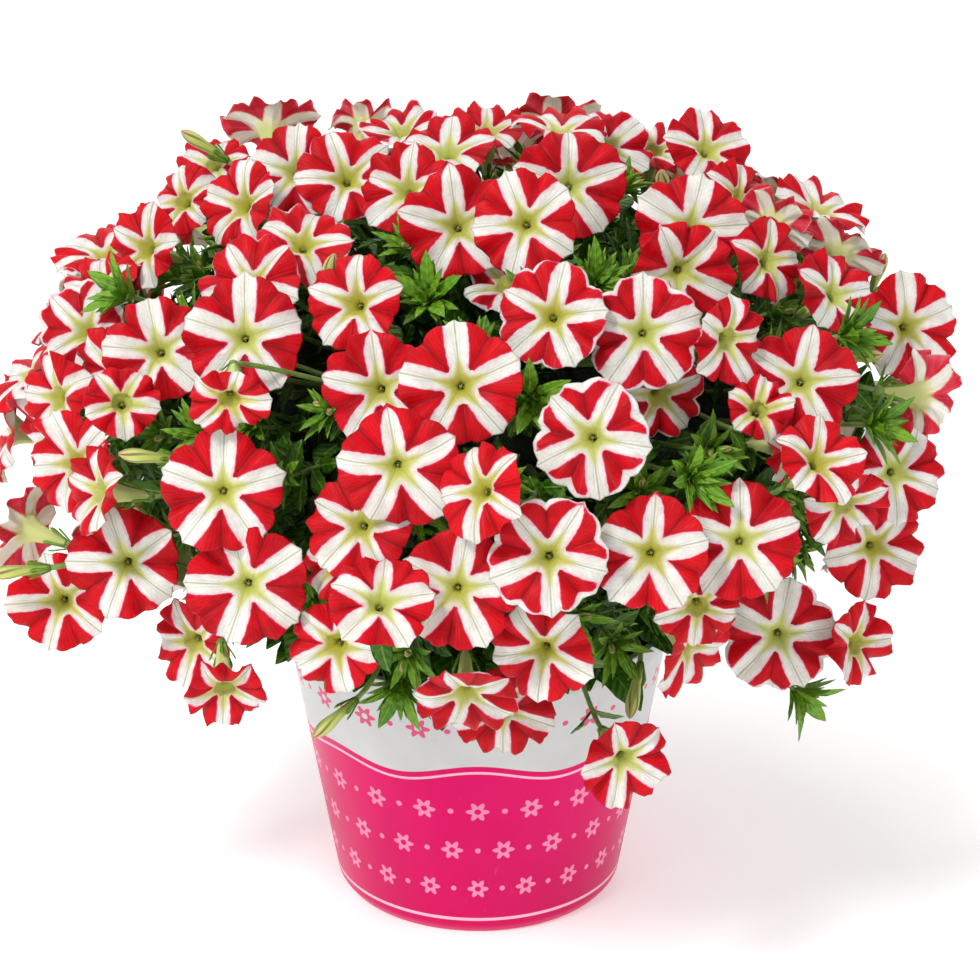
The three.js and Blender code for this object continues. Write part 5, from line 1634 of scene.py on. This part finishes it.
def bud_mesh(piece, bud, draw):
    """A furled bud on its curved stalk: slim tube, fuller twisted tip, and its calyx."""
    axis = bud["axis"]
    foot, tip = bud["foot"], bud["tip"]
    length = norm(tip - foot)
    at = np.array([0, 0.1, 0.25, 0.4, 0.55, 0.68, 0.8, 0.9, 0.97, 1.0])
    radii = np.array([1.4, 1.9, 2.2, 2.6, 3.2, 3.7, 3.6, 2.7, 1.4, 0.5])
    tube(piece, foot + axis * (at * length)[:, None], radii, 15, BUD, cell=0.7)
    side = side_of(axis)
    other = np.cross(axis, side)
    for i in range(SEPALS):
        out = at_turn(side, other, 2 * math.pi * i / SEPALS)
        leaf = Leaf(foot + out * 1.4, unit(axis + out * 0.24), out, 12.5, 2.6, 0.4, -0.6)
        blade(piece, leaf, SEPAL_SHAPE, SMALL_THICK, 5, 0.7, 0.5, 0.14)
    root = bud["root"]
    long = norm(foot - root)
    out = unit(root - CORE_CENTRE)
    path = curve(foot + axis, foot - axis * 0.3 * long, root + out * 0.3 * long, root, 9)
    tube(piece, path, np.linspace(1.5, 1.4, 9), 7, STALK, 0.5, 0.35)
    hairs(piece, path, 1.45, 50, 1.5, draw)
    hairs(piece, [foot, foot + axis * (0.5 * length), tip - axis * 4], 2.4, 50, 1.3, draw)


def tuft_mesh(piece, tuft, draw):
    """A tuft's stalk and the small upright leaves in its middle."""
    root, top, out = tuft["root"], tuft["top"], tuft["out"]
    path = curve(root, root + out * 6, top - out * 6, top, 7)
    tube(piece, path, np.linspace(1.9, 1.3, 7), 7, STALK, 0.7, 0.3)
    for leaf in young_leaves(HEART_RINGS, top, out, tuft["side"], 0.6, 0.35, 1, 1.4, draw):
        if clear_of_blooms(leaf_points(leaf), 1.0):
            blade(piece, leaf, SMALL_SHAPE, SMALL_THICK, 5, 0.6 + 0.4 * next(draw), next(draw), 0.4)


def stem_piece(index, draw):
    """A leafy stem: its core, its lower stem, and its tufts, buds and leaves."""
    piece = Piece(f"leafy_stem_{index + 1}_leaves")
    core_wedge(piece, index)
    turn = 2 * math.pi * (index + 0.5) / STEMS
    foot = np.array([STEM_REACH * math.cos(turn), STEM_REACH * math.sin(turn), 0])
    rises = np.linspace(SOIL_TOP - STEM_HOLE_DEPTH + 1, CORE_FOOT + 10, 6)
    tube(piece, foot + np.outer(rises, (0, 0, 1)), [5.4, 5.6, 5.5, 5.3, 5.2, 5.0], 12, STALK, 0, 0.3)
    for tuft in tufts:
        if tuft["index"] == index:
            tuft_mesh(piece, tuft, draw)
    for bud in buds:
        if bud["index"] == index:
            bud_mesh(piece, bud, draw)
    own = [leaf for leaf in leaves if leaf.index == index]
    stem_leaves(piece, index, [leaf for leaf in own if leaf.kind == "leaf"], draw)
    for leaf in own:
        broad_leaf(piece, leaf, draw)
    return piece


def build_plant():
    draw = draws(97)
    for index in range(STEMS):
        piece = stem_piece(index, draw)
        piece.build(GREEN_LOOKS, "foliage", f"leafy_stem_{index + 1}")
    for number, spray in enumerate(sprays):
        node = f"spray_{number + 1}"
        petals = Piece(f"{node}_petals")
        green = Piece(f"{node}_stalks")
        rises = [spray.root + spray.up * h for h in np.linspace(0, ROOT_DEPTH + FORK_HEIGHT, 5)]
        tube(green, rises, [2.5, 2.4, 2.3, 2.2, 2.0], 8, STALK, 0.2, 0.3)
        for bloom in spray.blooms:
            bloom_mesh(petals, bloom, draw)
            path = green_parts(green, bloom, spray, draw)
            stalk_leaves(green, path, draw)
        petals.build(PETAL_LOOKS, "petals", node)
        green.build(GREEN_LOOKS, "foliage", node)


# ---- looks: pot and soil ----

POT_AROUND = 144


def round_body(piece, points, *patches):
    """Rings of points from the middle of one end to the middle of the other. Each patch is the
    number of its last ring, its look and the side of its map."""
    rows = len(points)
    ends = points[[0, -1]].mean(1)
    first_cap, last_cap = end_caps(rows, POT_AROUND)
    start, parts = 0, []
    for stop, look, cell in patches:
        faces = grid_faces(rows, POT_AROUND, True)[start * POT_AROUND:stop * POT_AROUND]
        flat = grid_map(stop - start + 1, POT_AROUND, True)
        for cap, here, spot in ((first_cap, start == 0, 0.001), (last_cap, stop == rows - 1, 0.999)):
            if here:
                faces = np.concatenate([faces, cap])
                flat = np.concatenate([flat, np.full((len(cap) * 4, 2), spot)])
        parts.append((faces, look, flat, cell))
        start = stop
    points = np.concatenate([points.reshape(-1, 3), ends])
    piece.add(points, np.zeros((len(points), 6)), *parts)


def turned(profile):
    """Rings of points from a profile of (radius, height)."""
    turn = 2 * math.pi * np.arange(POT_AROUND) / POT_AROUND
    rows = np.array(profile, float)
    r, z = rows[:, :1], rows[:, 1:]
    return np.stack([r * np.cos(turn), r * np.sin(turn), z + 0 * turn], -1)


def rounded(points, steps=4):
    """A profile from rows of (radius, height, rounding), with small arcs at its rounded corners."""
    rows = []
    for k, (r, z, size) in enumerate(points):
        if not size or k in (0, len(points) - 1):
            rows.append((r, z))
            continue
        here = np.array([r, z], float)
        before = unit(np.array(points[k - 1][:2], float) - here)
        after = unit(np.array(points[k + 1][:2], float) - here)
        for i in range(steps + 1):
            t = i / steps
            rows.append(tuple(here + before * size * (1 - t) ** 2 + after * size * t ** 2))
    return rows


def build_pot():
    rim = POT_HEIGHT - POT_RIM_TALL
    wall = pot_radius(POT_HEIGHT)
    outside = rounded([
        (0.01, 1.2, 0), (60, 1.2, 1), (64, 0, 1), (POT_BASE_RADIUS - 3, 0, 1.2),
        (pot_radius(POT_FOOT_ROUND), POT_FOOT_ROUND, 2), (pot_radius(rim), rim, 0.6),
        (pot_radius(rim) + POT_RIM_OUT, rim + 1, 0.6), (wall + 2.2, POT_HEIGHT - 0.2, 0.8),
        (wall - POT_WALL, POT_HEIGHT, 0.8), (wall - POT_WALL - 0.3, POT_HEIGHT - 3, 0)])
    fine = []
    for a, b in zip(outside, outside[1:]):
        steps = max(1, int(math.hypot(b[0] - a[0], b[1] - a[1]) / 8))
        fine += [(a[0] + (b[0] - a[0]) * i / steps, a[1] + (b[1] - a[1]) * i / steps)
                 for i in range(steps)]
    fine.append(outside[-1])
    inside = [(pot_radius(90) - POT_WALL, 90), (pot_radius(POT_FLOOR) - POT_WALL, 5),
              (pot_radius(POT_FLOOR) - POT_WALL - 2, POT_FLOOR), (0.01, POT_FLOOR)]
    piece = Piece("pot_shell")
    round_body(piece, turned(fine + inside), (len(fine) - 1, 0, 2.0),
               (len(fine) + len(inside) - 1, 1, 0.8))
    piece.build([pot_look(), pot_inside_look()], "printed_pot", "pot")


def build_soil():
    """Loose crumbly potting soil, heaped a little in the middle."""
    draw = draws(5)
    phase = 6.3 * np.array(take(draw, 6))
    rings = np.concatenate([[0.3], np.arange(3, 109, 2.6)])
    turn = 2 * math.pi * np.arange(POT_AROUND) / POT_AROUND
    edge = pot_radius(SOIL_TOP) - POT_WALL - FIT_GAP
    r = np.minimum(rings, edge - 0.2)[:, None] + 0 * turn
    x, y = r * np.cos(turn), r * np.sin(turn)
    lumps = (np.sin(x / 5.3 + phase[0]) * np.sin(y / 4.7 + phase[1])
             + np.sin(x / 2.7 + y / 3.9 + phase[2]) * np.sin(y / 2.3 - x / 4.1 + phase[3])
             + 0.8 * np.sin(x / 1.6 + phase[4]) * np.sin(y / 1.7 + x / 6 + phase[5]))
    z = SOIL_TOP + 1.2 * (1 - (r / edge) ** 2) + 0.75 * lumps - 0.6
    points = np.stack([x, y, z], -1)
    low = pot_radius(POT_FLOOR + 1) - POT_WALL - FIT_GAP
    foot = np.stack([low * np.cos(turn), low * np.sin(turn), 0 * turn + POT_FLOOR + 0.4], -1)
    middle = foot * (0.01, 0.01, 1)
    points = np.concatenate([points, foot[None], middle[None]])[::-1]
    piece = Piece("soil_heap")
    round_body(piece, points, (len(points) - 1, 0, 1.0))
    piece.build([soil_look()], "potting_soil", "soil")


build_plant()
build_pot()
build_soil()


# ---- floor, lights and camera ----

def studio_floor():
    """A round white floor whose edge sweeps up into a low wall, so that no horizon shows."""
    sides, flat, sweep = 96, 4.0, 2.0
    turn = 2 * math.pi * np.arange(sides) / sides
    rows = [(0.01, 0.0), (1.0, 0.0), (2.5, 0.0), (flat, 0.0)]
    rows += [(flat + sweep * math.sin(t), sweep - sweep * math.cos(t))
             for t in np.linspace(0.1, 1.5, 12)]
    rows.append((flat + sweep, 2 * sweep))
    points = [(r * math.cos(t), r * math.sin(t), z) for r, z in rows for t in turn]
    mesh = bpy.data.meshes.new("floor")
    mesh.from_pydata(points, [], grid_faces(len(rows), sides, True).tolist())
    mesh.polygons.foreach_set("use_smooth", [True] * len(mesh.polygons))
    thing = bpy.data.objects.new("floor", mesh)
    bpy.context.scene.collection.objects.link(thing)
    look = Look("floor_paper", 0.8, {"Specular IOR Level": 0.1, "Emission Strength": 0.33,
                                     "Emission Color": (1, 1, 1, 1)})
    colour = look.mix(look.noise(3), (246, 246, 246), (250, 250, 250))
    mesh.materials.append(look.finish(colour, look.noise(300), 0.02, 0.2))


def light(name, place, aim, size, power):
    lamp = bpy.data.lights.new(name, "AREA")
    lamp.shape = "DISK"
    lamp.size = size
    lamp.energy = power
    thing = bpy.data.objects.new(name, lamp)
    bpy.context.scene.collection.objects.link(thing)
    point_at(thing, place, aim)


def point_at(thing, place, aim):
    """Stands a light or camera at `place` with its -Z side turned to `aim`."""
    back = unit(np.array(place, float) - np.array(aim, float))
    right = unit(np.cross((0, 0, 1), back))
    up = np.cross(back, right)
    rows = [[right[i], up[i], back[i], place[i]] for i in range(3)] + [[0, 0, 0, 1]]
    thing.matrix_world = Matrix(rows)


studio_floor()
light("key", (-0.9, -1.4, 1.9), (0, 0, 0.25), 0.45, 32)
light("fill", (1.5, -1.3, 1.0), (0, 0, 0.25), 1.2, 3)
light("top", (-0.2, 0.5, 2.2), (0, 0, 0.3), 0.9, 12)
light("back", (0.4, 1.7, 1.3), (0, 0, 0.3), 1.0, 5)

world = bpy.data.worlds.new("studio")
world.use_nodes = True
background = world.node_tree.nodes["Background"]
background.inputs["Color"].default_value = (1, 1, 1, 1)
background.inputs["Strength"].default_value = 0.28
bpy.context.scene.world = world
bpy.context.scene.view_settings.view_transform = "Standard"

SENSOR_WIDTH = 36
lens = bpy.data.cameras.new("camera")
lens.sensor_width = SENSOR_WIDTH
lens.lens = VIEW_FOCAL * SENSOR_WIDTH / (2 * VIEW_CENTRE)
camera = bpy.data.objects.new("camera", lens)
bpy.context.scene.collection.objects.link(camera)
point_at(camera, tuple(VIEW_PLACE * MM), tuple(VIEW_AIM * MM))
bpy.context.scene.camera = camera
